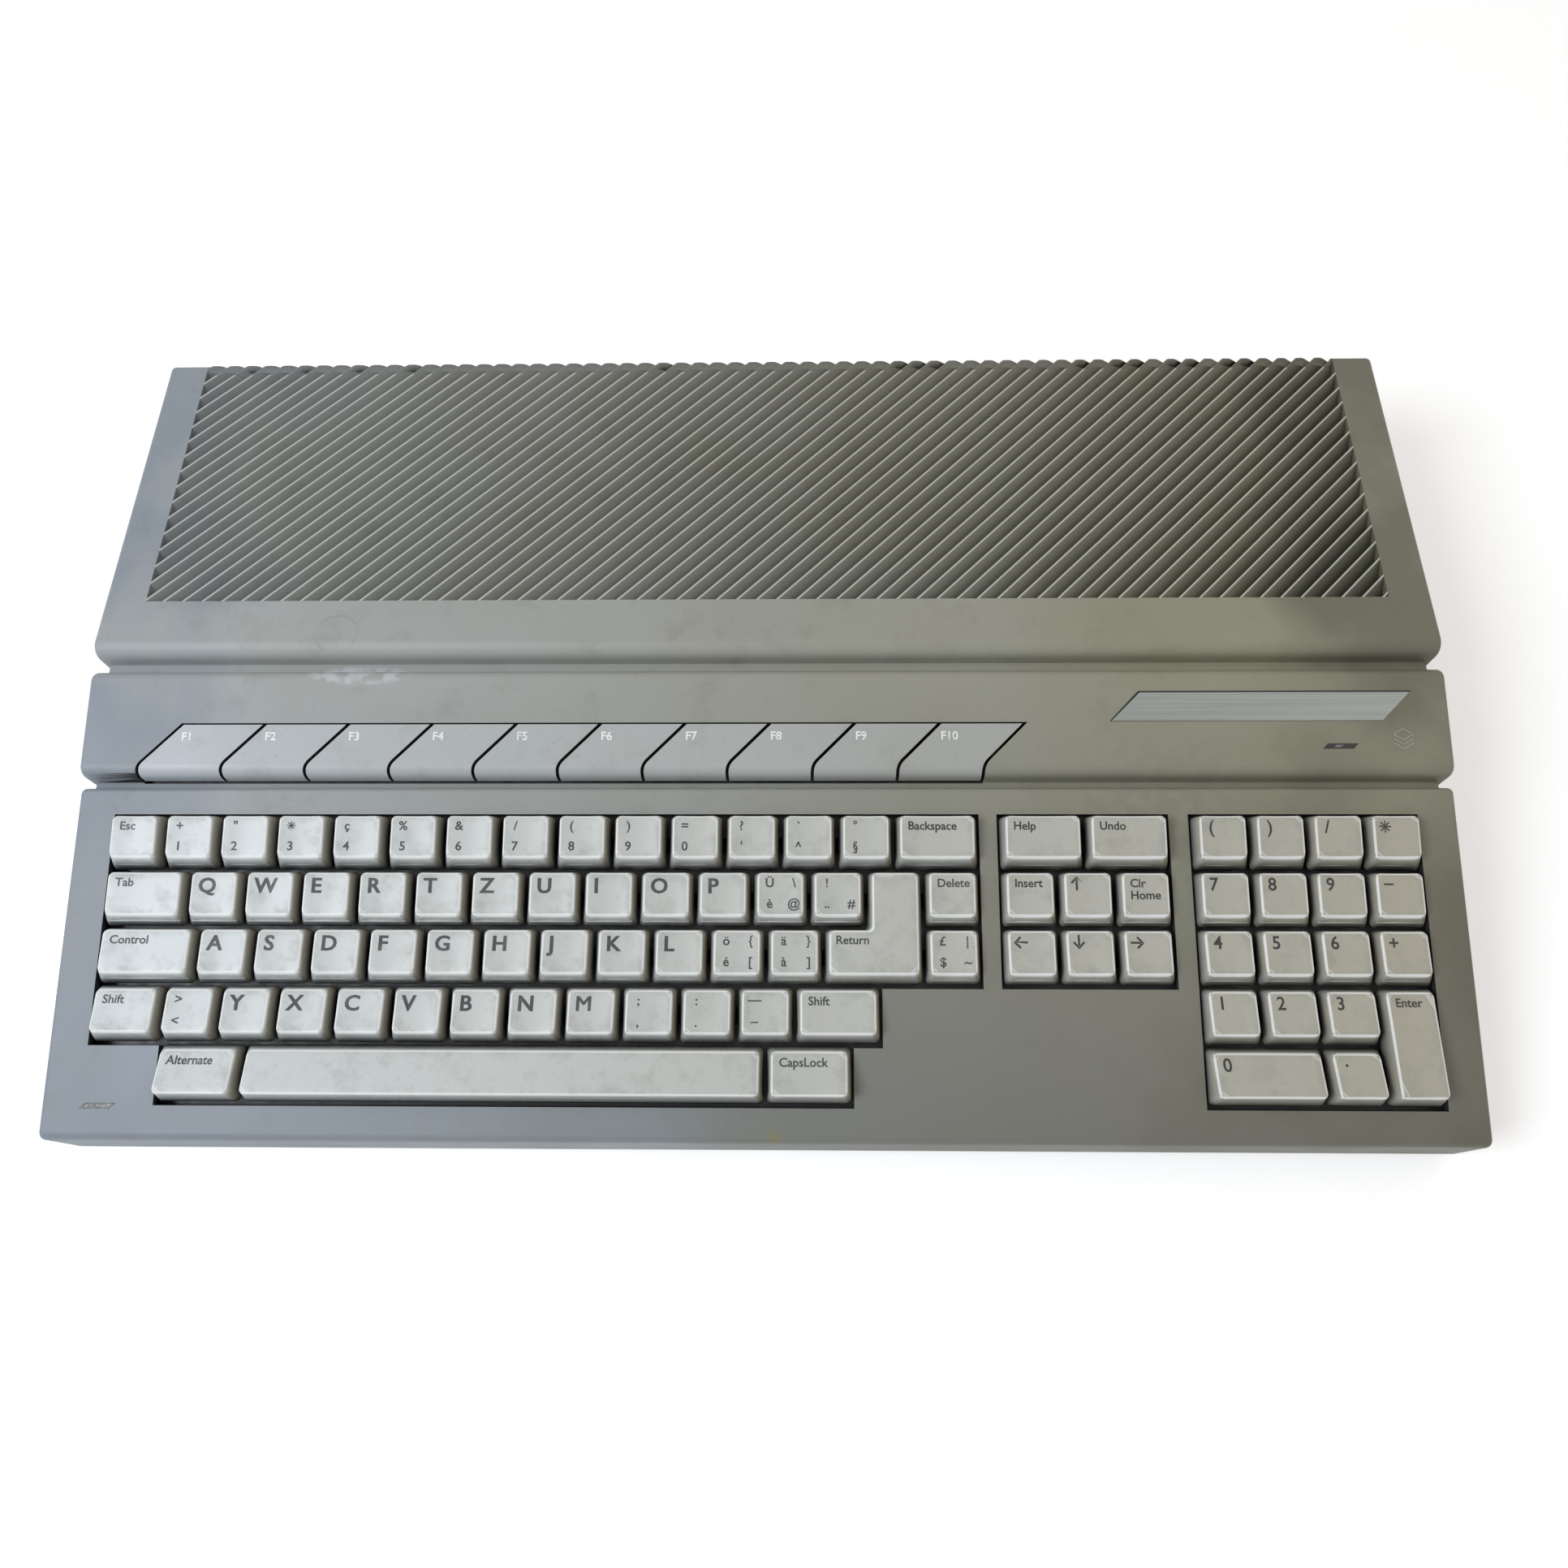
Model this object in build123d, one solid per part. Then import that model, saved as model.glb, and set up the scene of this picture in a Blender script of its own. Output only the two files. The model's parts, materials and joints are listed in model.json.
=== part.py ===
from build123d import *
import os
from math import atan2, cos, degrees, radians, sqrt, tan

# An all-in-one keyboard computer. While it is built, X runs right, Y runs back from the front edge
# and Z runs up from the table. Every node is moved back by half the depth when it is written, so
# the finished origin lies on the table under the middle of the case.

# ---- Keys, placed in the deck's own frame: X right, Y up the slope, Z out of the deck ----
KEY_UNIT = 19.05
KEY_GAP = 0.85
KEY_SKIRT_Z = -3.3
KEY_TOP_SIDE_INSET = 1.65
# The tops follow a shallow bowl: heights over the deck and insets of their edges, back row first.
KEY_BACK_HEIGHTS = (5.0, 3.5, 2.7, 2.6, 2.7)
KEY_FRONT_HEIGHTS = (4.6, 3.5, 3.8, 4.6, 6.6)
KEY_BACK_INSETS = (0.6, 0.6, 0.7, 1.2, 1.65)
KEY_FRONT_INSETS = (3.7, 3.5, 3.4, 3.2, 3.0)
KEY_DISH = 0.9
KEY_WALL = 1.4
KEY_TRAVEL = 3.5
STEM_SIZE = 5.0
STEM_CLEAR = 0.25
KEY_CLEAR = 0.4
MAIN_BLOCK_UNITS = 15.5
SHIFT_ROW_END = 13.75         # right end of the fourth row, in units from the block's left side
SPACE_ROW_START = 1.25        # left end of the fifth row
SPACE_ROW_END = 13.25
CURSOR_BLOCK_UNITS = 3
NUMBER_BLOCK_UNITS = 4
BLOCK_GAP_1 = 6.6
BLOCK_GAP_2 = 7.2
KEY_SIDE_MARGIN = 13.8
KEY_FRONT_MARGIN = 11.5
OPENING_MARGIN = 0.3
OPENING_FRONT_MARGIN = 0.9

# ---- Case ----
WALL = 2.6
SEAM_Z = 15.0
FOOT_H = 3.0
SIDE_ROUND = 2.0
SLOPE = 12.1
DECK_FRONT_Z = 26.2
DECK_FRONT_ROUND = 3.0
DECK_BACK_MARGIN = 9.7
DECK_BACK_ROUND = 1.6
GROOVE_1_WIDTH = 3.3
GROOVE_1_Z = 46.6
BAND_STEP = 2.45
BAND_LENGTH = 37.2
BAND_NOSE_ROUND = 4.5
BAND_BACK_ROUND = 3.5
GROOVE_2_WIDTH = 4.4
GROOVE_2_Z = 56.0
GROOVE_WALL = 1.6
GROOVE_SEAT = 3.0
REAR_NOSE_ROUND = 5.5
REAR_TOP_Z = 64.5
REAR_ROUND = 2.5
NOTCH = 3.0
SHELL_CLEAR = 0.4
THROUGH = 1.0

# ---- Diagonal rib field ----
RIB_FRONT_MARGIN = 21.2
RIB_SIDE_MARGIN = 15.2
RIB_PITCH = 5.0
RIB_DEPTH = 3.4
RIB_BACKING = 2.0
RIB_RIDGE = 0.55
RIB_STEEP = 0.5
RIB_REAR_SETBACK = 2.6
RIB_REAR_ROUND = 3.0
RIB_RUN_OUT = 8.0
RIB_ANGLE = 45.0

# ---- Rear panel, set in from the back edge ----
PANEL_SETBACK = 12.0
PANEL_TOP_Z = 48.0
PANEL_SIDE_MARGIN = 21.0
PORT_CLEAR = 0.4

# ---- Function keys ----
FUNCTION_KEY_COUNT = 10
FUNCTION_PITCH = 29.1
FUNCTION_SIDE_MARGIN = 35.2
FUNCTION_LENGTH = 18.6
FUNCTION_NOSE_RUN = 3.7
FUNCTION_GAP = 1.1
FUNCTION_BEND_ROUND = 6.0
FUNCTION_WALL = 1.6
FUNCTION_CORNER = 1.5
FUNCTION_RUN_OUT = 8.0

# ---- Keyboard unit under the deck ----
FRAME_THICK = 3.0
FRAME_OVERLAP = 4.5
FRAME_END_OVERLAP = 2.4
FRAME_RIM = 2.0
MAT_THICK = 1.0
MAT_CLEAR = 0.3
BOARD_THICK = 1.6
EXTENSION_BACK_MARGIN = 1.0
EXTENSION_SIDE_MARGIN = 14.0
EXTENSION_DRIVE_GAP = 3.0
KEYBOARD_POST_X = (-200, -70, 70, 185)
KEYBOARD_POST_END_MARGIN = 18.0
KEYBOARD_REAR_POSTS = 3

# ---- Small windows and the name plate: from the case's side and from the band's nose ----
LAMP_LENGTH = 9.8
LAMP_HEIGHT = 1.5
LAMP_DEPTH = 5.0
LAMP_FIT = 0.1
LAMP_SINK = 0.2
POWER_LAMP_FROM_SIDE = 18.9
POWER_LAMP_FROM_KEYS = 1.1
DRIVE_LAMP_FROM_SIDE = 38.0
DRIVE_LAMP_FROM_NOSE = 10.0
PLATE_LENGTH = 91.8
PLATE_HEIGHT = 10.2
PLATE_THICK = 0.8
PLATE_SINK = 0.6
PLATE_FIT = 0.2
PLATE_FROM_SIDE = 64.0
PLATE_FROM_NOSE = 23.9

# ---- Boards, lid and leads ----
MAIN_BOARD_Z = 14.4
BOARD_SIDE_GAP = 9.0
BOARD_DRIVE_GAP = 3.2
BOARD_TAB_GAP = 8.0
BOARD_PANEL_GAP = 0.9
BOARD_BAND_GAP = 4.8
POST_DIAMETER = 7.0
POST_SIDES = 8
BOARD_POST_INSET = 8.0
BOARD_POST_MIDDLE_X = -60.0
SHIELD_SHEET = 0.8
SHIELD_TOP_Z = 36.0
SHIELD_SETBACK = 2.0
SHIELD_DEPTH = 104.0
SHIELD_LEFT_GAP = 24.0
LEAD_X = -40.0
LEAD_WIDTH = 22.0
LEAD_THICK = 0.8
LEAD_PLUG = 6.0
LEAD_FROM_EDGE = 1.0

# ---- Chips on the main board: middle X and Y from the board's front left corner, then length,
# width and height of the package ----
CHIPS = [(106, 55, 82, 23, 3.8), (196, 40, 52, 23, 3.8), (211, 78, 44, 44, 5.0),
         (76, 82, 37, 15, 3.8), (126, 82, 37, 15, 3.8)]
CHIP_BEVEL = 0.8
MEMORY_COUNT = 8
MEMORY_PITCH = 9.5
MEMORY_SIZE = (19, 7.6, 3.8)
MEMORY_COLUMNS = (18.0, 43.0)
MEMORY_FRONT = 10.0

# ---- Disk drive, loaded from the right ----
DRIVE_BAND_GAP = 2.0
DRIVE_SIDE_GAP = 0.2
DRIVE_WIDTH = 101.6
DRIVE_LENGTH = 148.0
DRIVE_HEIGHT = 25.4
DRIVE_BASE_Z = 17.0
DRIVE_SHEET = 1.2
DRIVE_POST_INSET = 8.0
BEZEL_THICK = 2.6
BEZEL_INSET = 1.4
DISK_SLOT_MARGIN = 4.3
DISK_SLOT_HEIGHT = 5.6
DISK_SLOT_Z = 33.5
GRIP_WIDTH = 30.0
GRIP_DEPTH = 1.4
GRIP_RISE = 2.5
FLAP_THICK = 1.0
FLAP_FROM_FRONT = 2.4
FLAP_OVERLAP = 0.6
HINGE_DIAMETER = 1.6
HINGE_FIT = 0.08
EJECT_WIDTH = 13.0
EJECT_HEIGHT = 6.0
EJECT_FROM_BACK = 14.2
EJECT_Z = 24.0
EJECT_PROUD = 3.0
EJECT_CAP = 6.0
EJECT_ROD = 8.0
EJECT_ROD_WIDTH = 4.0
EJECT_CLEAR = 0.3
SPINDLE_DIAMETER = 24.0
SPINDLE_THICK = 1.8
SPINDLE_PIN = 3.0
SPINDLE_FIT = 0.05
SPINDLE_LIFT = 0.3
SPINDLE_TIP = 0.7
SPINDLE_FROM_FRONT = 62.0
FLYWHEEL_DIAMETER = 48.0
FLYWHEEL_THICK = 2.0
DISK_PLATE_LIFT = 9.0

# ---- Power supply ----
SUPPLY_LENGTH = 110.0
SUPPLY_SIDE_GAP = 3.4
SUPPLY_DRIVE_GAP = 2.8
SUPPLY_ROOM = 51.4
SUPPLY_COVER_GAP = 1.0
COMPONENT_GAP = 1.5
SUPPLY_COVER_LOW = 3.0
SUPPLY_COVER_HEIGHT = 31.5
SUPPLY_BOARD_GAP = 0.4
SUPPLY_POST_INSET = 8.0
VENT_COUNT = 9
VENT_PITCH = 10.0
VENT_WIDTH = 4.0
VENT_LENGTH = 20.0
TRANSFORMER_WIDTH = 28.0
WINDING_PROUD = 2.5
WINDING_SETBACK = 3.0
CAPACITOR_DIAMETER = 12.0
CAPACITOR_PITCH = 15.6
COMPONENT_HEIGHT = 24.0
HEAT_SINK_LENGTH = 30.0
HEAT_SINK_BACK = 2.0
HEAT_SINK_FIN = (1.4, 8.0)
HEAT_SINK_FINS = 6

# ---- Connectors and controls of the rear panel: X from the right side, or from the middle ----
RESET_FROM_SIDE = 29.0
SWITCH_FROM_SIDE = 51.0
INLET_FROM_SIDE = 89.0
SERIAL_X = 78.0
PRINTER_X = 14.0
HARD_DISK_X = -46.0
FLOPPY_DIN_X = -96.0
MONITOR_DIN_X = -130.0
D_25_WIDTH = 53.0
D_19_WIDTH = 44.0
D_9_WIDTH = 30.8
D_FLANGE_HEIGHT = 12.5
D_FLANGE_THICK = 1.0
D_SHELL_REACH = 6.0
D_SHELL_HEIGHT = 8.4
D_SHELL_MARGIN = 13.9
D_SHELL_WALL = 0.8
D_SHELL_CORNER = 1.2
D_BODY_DEPTH = 12.0
D_BODY_MARGIN = 12.0
D_LEAN = 10.0
DIN_DIAMETER = 15.0
DIN_RING = 1.2
DIN_BODY = 18.0
DIN_BODY_DEPTH = 14.0
DIN_WELL = 6.0
INLET_BODY_W = 27.4
INLET_BODY_H = 20.0
INLET_DEPTH = 18.0
INLET_PROUD = 1.0
INLET_WALL = 1.5
INLET_BACK = 4.0
INLET_PIN = (2.0, 4.0)
INLET_PIN_PLACES = [(-7, -1), (7, -1), (0, 3)]
ROCKER_LENGTH = 19.0
ROCKER_WIDTH = 11.0
ROCKER_TILT = 9.0
ROCKER_PIVOT = -1.5
ROCKER_PROUD = 1.8
ROCKER_DEPTH = 4.5
SWITCH_BODY_DEPTH = 14.0
SWITCH_FRAME = 2.0
SWITCH_PROUD = 0.8
SWITCH_ROOM = 9.0
SWITCH_CLEAR = 0.4
RESET_SIZE = 7.0
RESET_PROUD = 1.5

# ---- Connectors of the left side: Y from the back edge ----
MIDI_IN_FROM_BACK = 54.0
MIDI_OUT_FROM_BACK = 28.0
CARTRIDGE_FROM_BACK = 95.0
CARTRIDGE_LENGTH = 62.0
CARTRIDGE_HEIGHT = 13.0
CARTRIDGE_DEPTH = 18.0
CARTRIDGE_MOUTH = (56.0, 12.0, 5.2)
CARTRIDGE_GAP = 0.3

# ---- Controller recess under the right side ----
CONTROLLER_PITCH = 32.0
RECESS_DEPTH = 36.0
RECESS_LENGTH = 64.6
RECESS_BAND_GAP = 0.6
RECESS_TOP = 18.4
RECESS_WALL = 1.5
CONTROLLER_LIFT = 0.2

# ---- Fasteners and feet ----
FRONT_SCREW_X = (-150, 0, 150)
MIDDLE_SCREW_X = (-140, 60)
SCREW_FRONT_MARGIN = 6.9
SCREW_BAND_MARGIN = 8.8
SCREW_SIDE_MARGIN = 10.8
SCREW_BACK_MARGIN = 9.0
SCREW_DIAMETER = 3.0
SCREW_HEAD = 6.4
SCREW_HEAD_H = 2.2
SCREW_LENGTH = 16.0
SCREW_SEAT = 0.3
SCREW_PASS = 0.2
SCREW_BITE = 0.1
SCREW_TIP_GAP = 0.5
ROUND_SIDES = 16
FOOT_DIAMETER = 16.0
FOOT_CHAMFER = 0.8
FOOT_SIDE_MARGIN = 30.0
FOOT_END_MARGIN = 22.0

# ---- Sizes that follow from the ones above ----
DECK_COS = cos(radians(SLOPE))
KEY_FIELD_WIDTH = ((MAIN_BLOCK_UNITS + CURSOR_BLOCK_UNITS + NUMBER_BLOCK_UNITS) * KEY_UNIT
                   + BLOCK_GAP_1 + BLOCK_GAP_2)
WIDTH = KEY_FIELD_WIDTH + 2 * KEY_SIDE_MARGIN
HALF_W = WIDTH / 2
INNER_HALF_W = HALF_W - NOTCH - WALL
MAIN_BLOCK_X = -KEY_FIELD_WIDTH / 2
CURSOR_BLOCK_X = MAIN_BLOCK_X + MAIN_BLOCK_UNITS * KEY_UNIT + BLOCK_GAP_1
NUMBER_BLOCK_X = CURSOR_BLOCK_X + CURSOR_BLOCK_UNITS * KEY_UNIT + BLOCK_GAP_2
KEY_DATUM_Y = KEY_FRONT_MARGIN + 4 * KEY_UNIT * DECK_COS
DECK_BACK_Y = KEY_DATUM_Y + KEY_UNIT * DECK_COS + DECK_BACK_MARGIN
BAND_FRONT_Y = DECK_BACK_Y + GROOVE_1_WIDTH
BAND_BACK_Y = BAND_FRONT_Y + BAND_LENGTH
REAR_FRONT_Y = BAND_BACK_Y + GROOVE_2_WIDTH
BAND_Z = BAND_STEP * DECK_COS
NOSE_Y = (BAND_FRONT_Y - KEY_DATUM_Y) / DECK_COS
RIB_FRONT_Y = REAR_FRONT_Y + RIB_FRONT_MARGIN
RIB_HALF_WIDTH = HALF_W - RIB_SIDE_MARGIN
PANEL_HALF_WIDTH = HALF_W - PANEL_SIDE_MARGIN
REAR_HIGH_Z = (SEAM_Z + PANEL_TOP_Z) / 2

SKIRT_REACH = KEY_SKIRT_Z - KEY_TRAVEL
FRAME_TOP_Z = SKIRT_REACH - KEY_CLEAR
FRAME_BASE_Z = FRAME_TOP_Z - FRAME_THICK
STEM_END_Z = FRAME_BASE_Z + KEY_CLEAR
MAT_TOP_Z = STEM_END_Z - KEY_TRAVEL - KEY_CLEAR
KEY_BOARD_TOP_Z = MAT_TOP_Z - MAT_THICK
KEY_BOARD_BASE_Z = KEY_BOARD_TOP_Z - BOARD_THICK

FUNCTION_LEFT_X = -HALF_W + FUNCTION_SIDE_MARGIN
FUNCTION_RIGHT_X = FUNCTION_LEFT_X + FUNCTION_KEY_COUNT * FUNCTION_PITCH
FUNCTION_BACK_Y = NOSE_Y + FUNCTION_LENGTH
FUNCTION_BEND_Y = NOSE_Y + FUNCTION_NOSE_RUN
POWER_LAMP = (-HALF_W + POWER_LAMP_FROM_SIDE, -4 * KEY_UNIT - POWER_LAMP_FROM_KEYS)
DRIVE_LAMP = (HALF_W - DRIVE_LAMP_FROM_SIDE, NOSE_Y + DRIVE_LAMP_FROM_NOSE)
PLATE = (HALF_W - PLATE_FROM_SIDE, NOSE_Y + PLATE_FROM_NOSE)

DRIVE_FRONT_Y = BAND_FRONT_Y + DRIVE_BAND_GAP
DRIVE_BACK_Y = DRIVE_FRONT_Y + DRIVE_WIDTH
DRIVE_MIDDLE_Y = DRIVE_FRONT_Y + DRIVE_WIDTH / 2
DRIVE_RIGHT = INNER_HALF_W - DRIVE_SIDE_GAP
DRIVE_LEFT = DRIVE_RIGHT - DRIVE_LENGTH
DRIVE_TOP_Z = DRIVE_BASE_Z + DRIVE_HEIGHT
DISK_SLOT_WIDTH = DRIVE_WIDTH - 2 * DISK_SLOT_MARGIN
BEZEL_RIGHT = DRIVE_RIGHT + BEZEL_THICK
SPINDLE_X = DRIVE_RIGHT - SPINDLE_FROM_FRONT
DISK_PLATE_Z = DRIVE_BASE_Z + DISK_PLATE_LIFT
FLAP_X = DRIVE_RIGHT - FLAP_FROM_FRONT
FLAP_PIVOT_Z = DISK_SLOT_Z + (DISK_SLOT_HEIGHT + HINGE_DIAMETER) / 2 + FLAP_OVERLAP / 3
EJECT_Y = DRIVE_BACK_Y - EJECT_FROM_BACK

SUPPLY_RIGHT = INNER_HALF_W - SUPPLY_SIDE_GAP
SUPPLY_LEFT = SUPPLY_RIGHT - SUPPLY_LENGTH
SUPPLY_FRONT = DRIVE_BACK_Y + SUPPLY_DRIVE_GAP
PANEL_Y = SUPPLY_FRONT + SUPPLY_ROOM + WALL
DEPTH = PANEL_Y + PANEL_SETBACK
SUPPLY_COVER_BACK = PANEL_Y + INLET_PROUD - INLET_DEPTH - SUPPLY_COVER_GAP

MAIN_BOARD_TOP = MAIN_BOARD_Z + BOARD_THICK
MAIN_BOARD_LEFT = -HALF_W + BOARD_SIDE_GAP
MAIN_BOARD_RIGHT = DRIVE_LEFT - BOARD_DRIVE_GAP
MAIN_BOARD_FRONT = BAND_BACK_Y - BOARD_BAND_GAP
MAIN_BOARD_BACK = PANEL_Y - WALL - BOARD_PANEL_GAP
BOARD_TAB_RIGHT = SUPPLY_LEFT - BOARD_TAB_GAP
BOARD_TAB_FRONT = DRIVE_BACK_Y + BOARD_DRIVE_GAP

RESET_X = HALF_W - RESET_FROM_SIDE
SWITCH_X = HALF_W - SWITCH_FROM_SIDE
INLET_X = HALF_W - INLET_FROM_SIDE
CONNECTOR_Z = MAIN_BOARD_TOP + D_FLANGE_HEIGHT / 2
DIN_Z = MAIN_BOARD_TOP + DIN_BODY / 2
MIDI_IN_Y = DEPTH - MIDI_IN_FROM_BACK
MIDI_OUT_Y = DEPTH - MIDI_OUT_FROM_BACK
CARTRIDGE_Y = DEPTH - CARTRIDGE_FROM_BACK
RECESS_BACK = BAND_FRONT_Y - RECESS_BAND_GAP
RECESS_FRONT = RECESS_BACK - RECESS_LENGTH
RECESS_LEFT = HALF_W - RECESS_DEPTH
RECESS_MIDDLE = (RECESS_FRONT + RECESS_BACK) / 2
CONTROLLER_Y = (RECESS_MIDDLE - CONTROLLER_PITCH / 2, RECESS_MIDDLE + CONTROLLER_PITCH / 2)
CONTROLLER_Z = FOOT_H + WALL + CONTROLLER_LIFT + D_FLANGE_HEIGHT / 2

SCREW_PLACES = ([(x, SCREW_FRONT_MARGIN) for x in FRONT_SCREW_X]
                + [(x, BAND_BACK_Y - SCREW_BAND_MARGIN) for x in MIDDLE_SCREW_X]
                + [(side * (HALF_W - SCREW_SIDE_MARGIN), DEPTH - SCREW_BACK_MARGIN)
                   for side in (-1, 1)])
SCREW_TIP_Z = FOOT_H + SCREW_SEAT + SCREW_HEAD_H + SCREW_LENGTH
FOOT_PLACES = [(side * (HALF_W - FOOT_SIDE_MARGIN), y) for side in (-1, 1)
               for y in (FOOT_END_MARGIN, DEPTH - FOOT_END_MARGIN)]


def deck_z(y):
    """Height of the deck's plane at a distance from the front edge."""
    return DECK_FRONT_Z + y * tan(radians(SLOPE))


DECK = Location((0, KEY_DATUM_Y, deck_z(KEY_DATUM_Y)), (SLOPE, 0, 0))


def box(x0, x1, y0, y1, z0, z1):
    """A block between two corners."""
    block = Box(x1 - x0, y1 - y0, z1 - z0)
    return Pos((x0 + x1) / 2, (y0 + y1) / 2, (z0 + z1) / 2) * block


def section(points, half_width, rounds=()):
    """A Y-Z outline, rounded at the given corners and drawn out to both sides of X = 0."""
    face = make_face(Polyline(*points, close=True))
    for place, radius in rounds:
        corner = face.vertices().sort_by_distance(Vector(place[0], place[1], 0))[0]
        face = fillet(corner, radius)
    return extrude(Plane.YZ * face, amount=half_width, both=True)


def prism(points, z0, z1):
    """An X-Y outline drawn up from one height to another."""
    face = make_face(Polyline(*points, close=True))
    return Pos(0, 0, z0) * extrude(face, amount=z1 - z0)


def along_x(radius, x0, x1, y, z):
    """A round bar that lies along X."""
    return Pos((x0 + x1) / 2, y, z) * Rot(0, 90, 0) * Cylinder(radius, abs(x1 - x0))


def along_y(radius, y0, y1, x, z):
    """A round bar that lies along Y."""
    return Pos(x, (y0 + y1) / 2, z) * Rot(90, 0, 0) * Cylinder(radius, abs(y1 - y0))


def upright(radius, z0, z1, x, y):
    """A round bar that stands up."""
    return Pos(x, y, (z0 + z1) / 2) * Cylinder(radius, z1 - z0)


def faceted(radius, z0, z1, x, y, sides=POST_SIDES):
    """An upright post, boss or well with flat sides in place of a full round."""
    return Pos(x, y, z0) * extrude(RegularPolygon(radius, sides), amount=z1 - z0)


def faceted_socket(radius, y0, y1):
    """The round form of a socket in flat sides, running back along Y from one depth to another."""
    return Pos(0, y0, 0) * extrude(Plane.XZ * RegularPolygon(radius, ROUND_SIDES), amount=y0 - y1)


def faceted_bore(radius, reach):
    """A bore in flat sides that clears a round pin, running both ways along Z."""
    return extrude(RegularPolygon(radius, POST_SIDES, major_radius=False), amount=reach, both=True)


def slanted(length, height, x, y, z0, z1):
    """A parallelogram whose ends lean 45 degrees, centred on a place in the deck's frame."""
    left = x - (length + height) / 2
    front = y - height / 2
    corners = [(left, front), (left + length, front),
               (left + length + height, front + height), (left + height, front + height)]
    return prism(corners, z0, z1)


# ---- Keyboard layout -------------------------------------------------------------------------

def row_y(row):
    """Middle of a key row; row 1 is the number row."""
    return KEY_UNIT * (1.5 - row)


def run_of_keys(block_x, row, first_unit, count):
    """Places and sizes of single keys that follow each other: x, y, width and depth in units."""
    return [(block_x + (first_unit + i + 0.5) * KEY_UNIT, row_y(row), 1, 1) for i in range(count)]


def wide_key(block_x, row, first_unit, units, rows=1):
    """Place and size of one larger key."""
    x = block_x + (first_unit + units / 2) * KEY_UNIT
    y = row_y(row) - (rows - 1) * KEY_UNIT / 2
    return [(x, y, units, rows)]


KEY_GROUPS = {
    "number_row_keys": run_of_keys(MAIN_BLOCK_X, 1, 0, 14),
    "backspace_key": wide_key(MAIN_BLOCK_X, 1, 14, 1.5),
    "tab_key": wide_key(MAIN_BLOCK_X, 2, 0, 1.5),
    "upper_letter_keys": (run_of_keys(MAIN_BLOCK_X, 2, 1.5, 12)
                          + run_of_keys(MAIN_BLOCK_X, 2, 14.5, 1)),
    "control_key": wide_key(MAIN_BLOCK_X, 3, 0, 1.75),
    "home_row_keys": (run_of_keys(MAIN_BLOCK_X, 3, 1.75, 11)
                      + run_of_keys(MAIN_BLOCK_X, 3, 14.5, 1)),
    "left_shift_key": wide_key(MAIN_BLOCK_X, 4, 0, 1.25),
    "lower_letter_keys": run_of_keys(MAIN_BLOCK_X, 4, 1.25, 11),
    "right_shift_key": wide_key(MAIN_BLOCK_X, 4, 12.25, 1.5),
    "alternate_key": wide_key(MAIN_BLOCK_X, 5, 1.25, 1.5),
    "space_bar": wide_key(MAIN_BLOCK_X, 5, 2.75, 9),
    "caps_lock_key": wide_key(MAIN_BLOCK_X, 5, 11.75, 1.5),
    "help_key": wide_key(CURSOR_BLOCK_X, 1, 0, 1.5),
    "undo_key": wide_key(CURSOR_BLOCK_X, 1, 1.5, 1.5),
    "cursor_keys": run_of_keys(CURSOR_BLOCK_X, 2, 0, 3) + run_of_keys(CURSOR_BLOCK_X, 3, 0, 3),
    "keypad_sign_keys": (run_of_keys(NUMBER_BLOCK_X, 1, 0, 4) + run_of_keys(NUMBER_BLOCK_X, 2, 3, 1)
                         + run_of_keys(NUMBER_BLOCK_X, 3, 3, 1)),
    "keypad_digit_keys": (run_of_keys(NUMBER_BLOCK_X, 2, 0, 3) + run_of_keys(NUMBER_BLOCK_X, 3, 0, 3)
                          + run_of_keys(NUMBER_BLOCK_X, 4, 0, 3)
                          + run_of_keys(NUMBER_BLOCK_X, 5, 2, 1)),
    "keypad_zero_key": wide_key(NUMBER_BLOCK_X, 5, 0, 2),
    "keypad_enter_key": wide_key(NUMBER_BLOCK_X, 4, 3, 1, rows=2),
}

RETURN_LEFT = MAIN_BLOCK_X + 12.75 * KEY_UNIT
RETURN_STEP = MAIN_BLOCK_X + 13.5 * KEY_UNIT
RETURN_RIGHT = MAIN_BLOCK_X + 14.5 * KEY_UNIT
RETURN_STEM = ((RETURN_STEP + RETURN_RIGHT) / 2, -KEY_UNIT)
SPACE_STEM_REACH = 3 * KEY_UNIT
LONG_KEY_UNITS = 4


def stem_places(x, y, units):
    """A long key is held level by a stem near each end beside its middle one."""
    reach = [-SPACE_STEM_REACH, 0, SPACE_STEM_REACH] if units > LONG_KEY_UNITS else [0]
    return [(x + dx, y) for dx in reach]


def rectangle(x0, x1, y0, y1):
    """The four corners of a rectangle, counter-clockwise from the front left."""
    return [(x0, y0), (x1, y0), (x1, y1), (x0, y1)]


def wedge(x0, x1, y0, y1, z0, z1, side, front, back):
    """A block whose four walls lean in by their own amounts: two profiles, one across the other."""
    reach = 2 * max(x1 - x0, y1 - y0)
    across = Polyline((x0, z0), (x1, z0), (x1 - side, z1), (x0 + side, z1), close=True)
    along = Polyline((y0, z0), (y1, z0), (y1 - back, z1), (y0 + front, z1), close=True)
    middle_x, middle_y = (x0 + x1) / 2, (y0 + y1) / 2
    from_front = extrude(Plane.XZ * make_face(across), amount=reach, both=True)
    from_side = extrude(Plane.YZ * make_face(along), amount=reach, both=True)
    return (Pos(0, middle_y, 0) * from_front) & (Pos(middle_x, 0, 0) * from_side)


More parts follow.
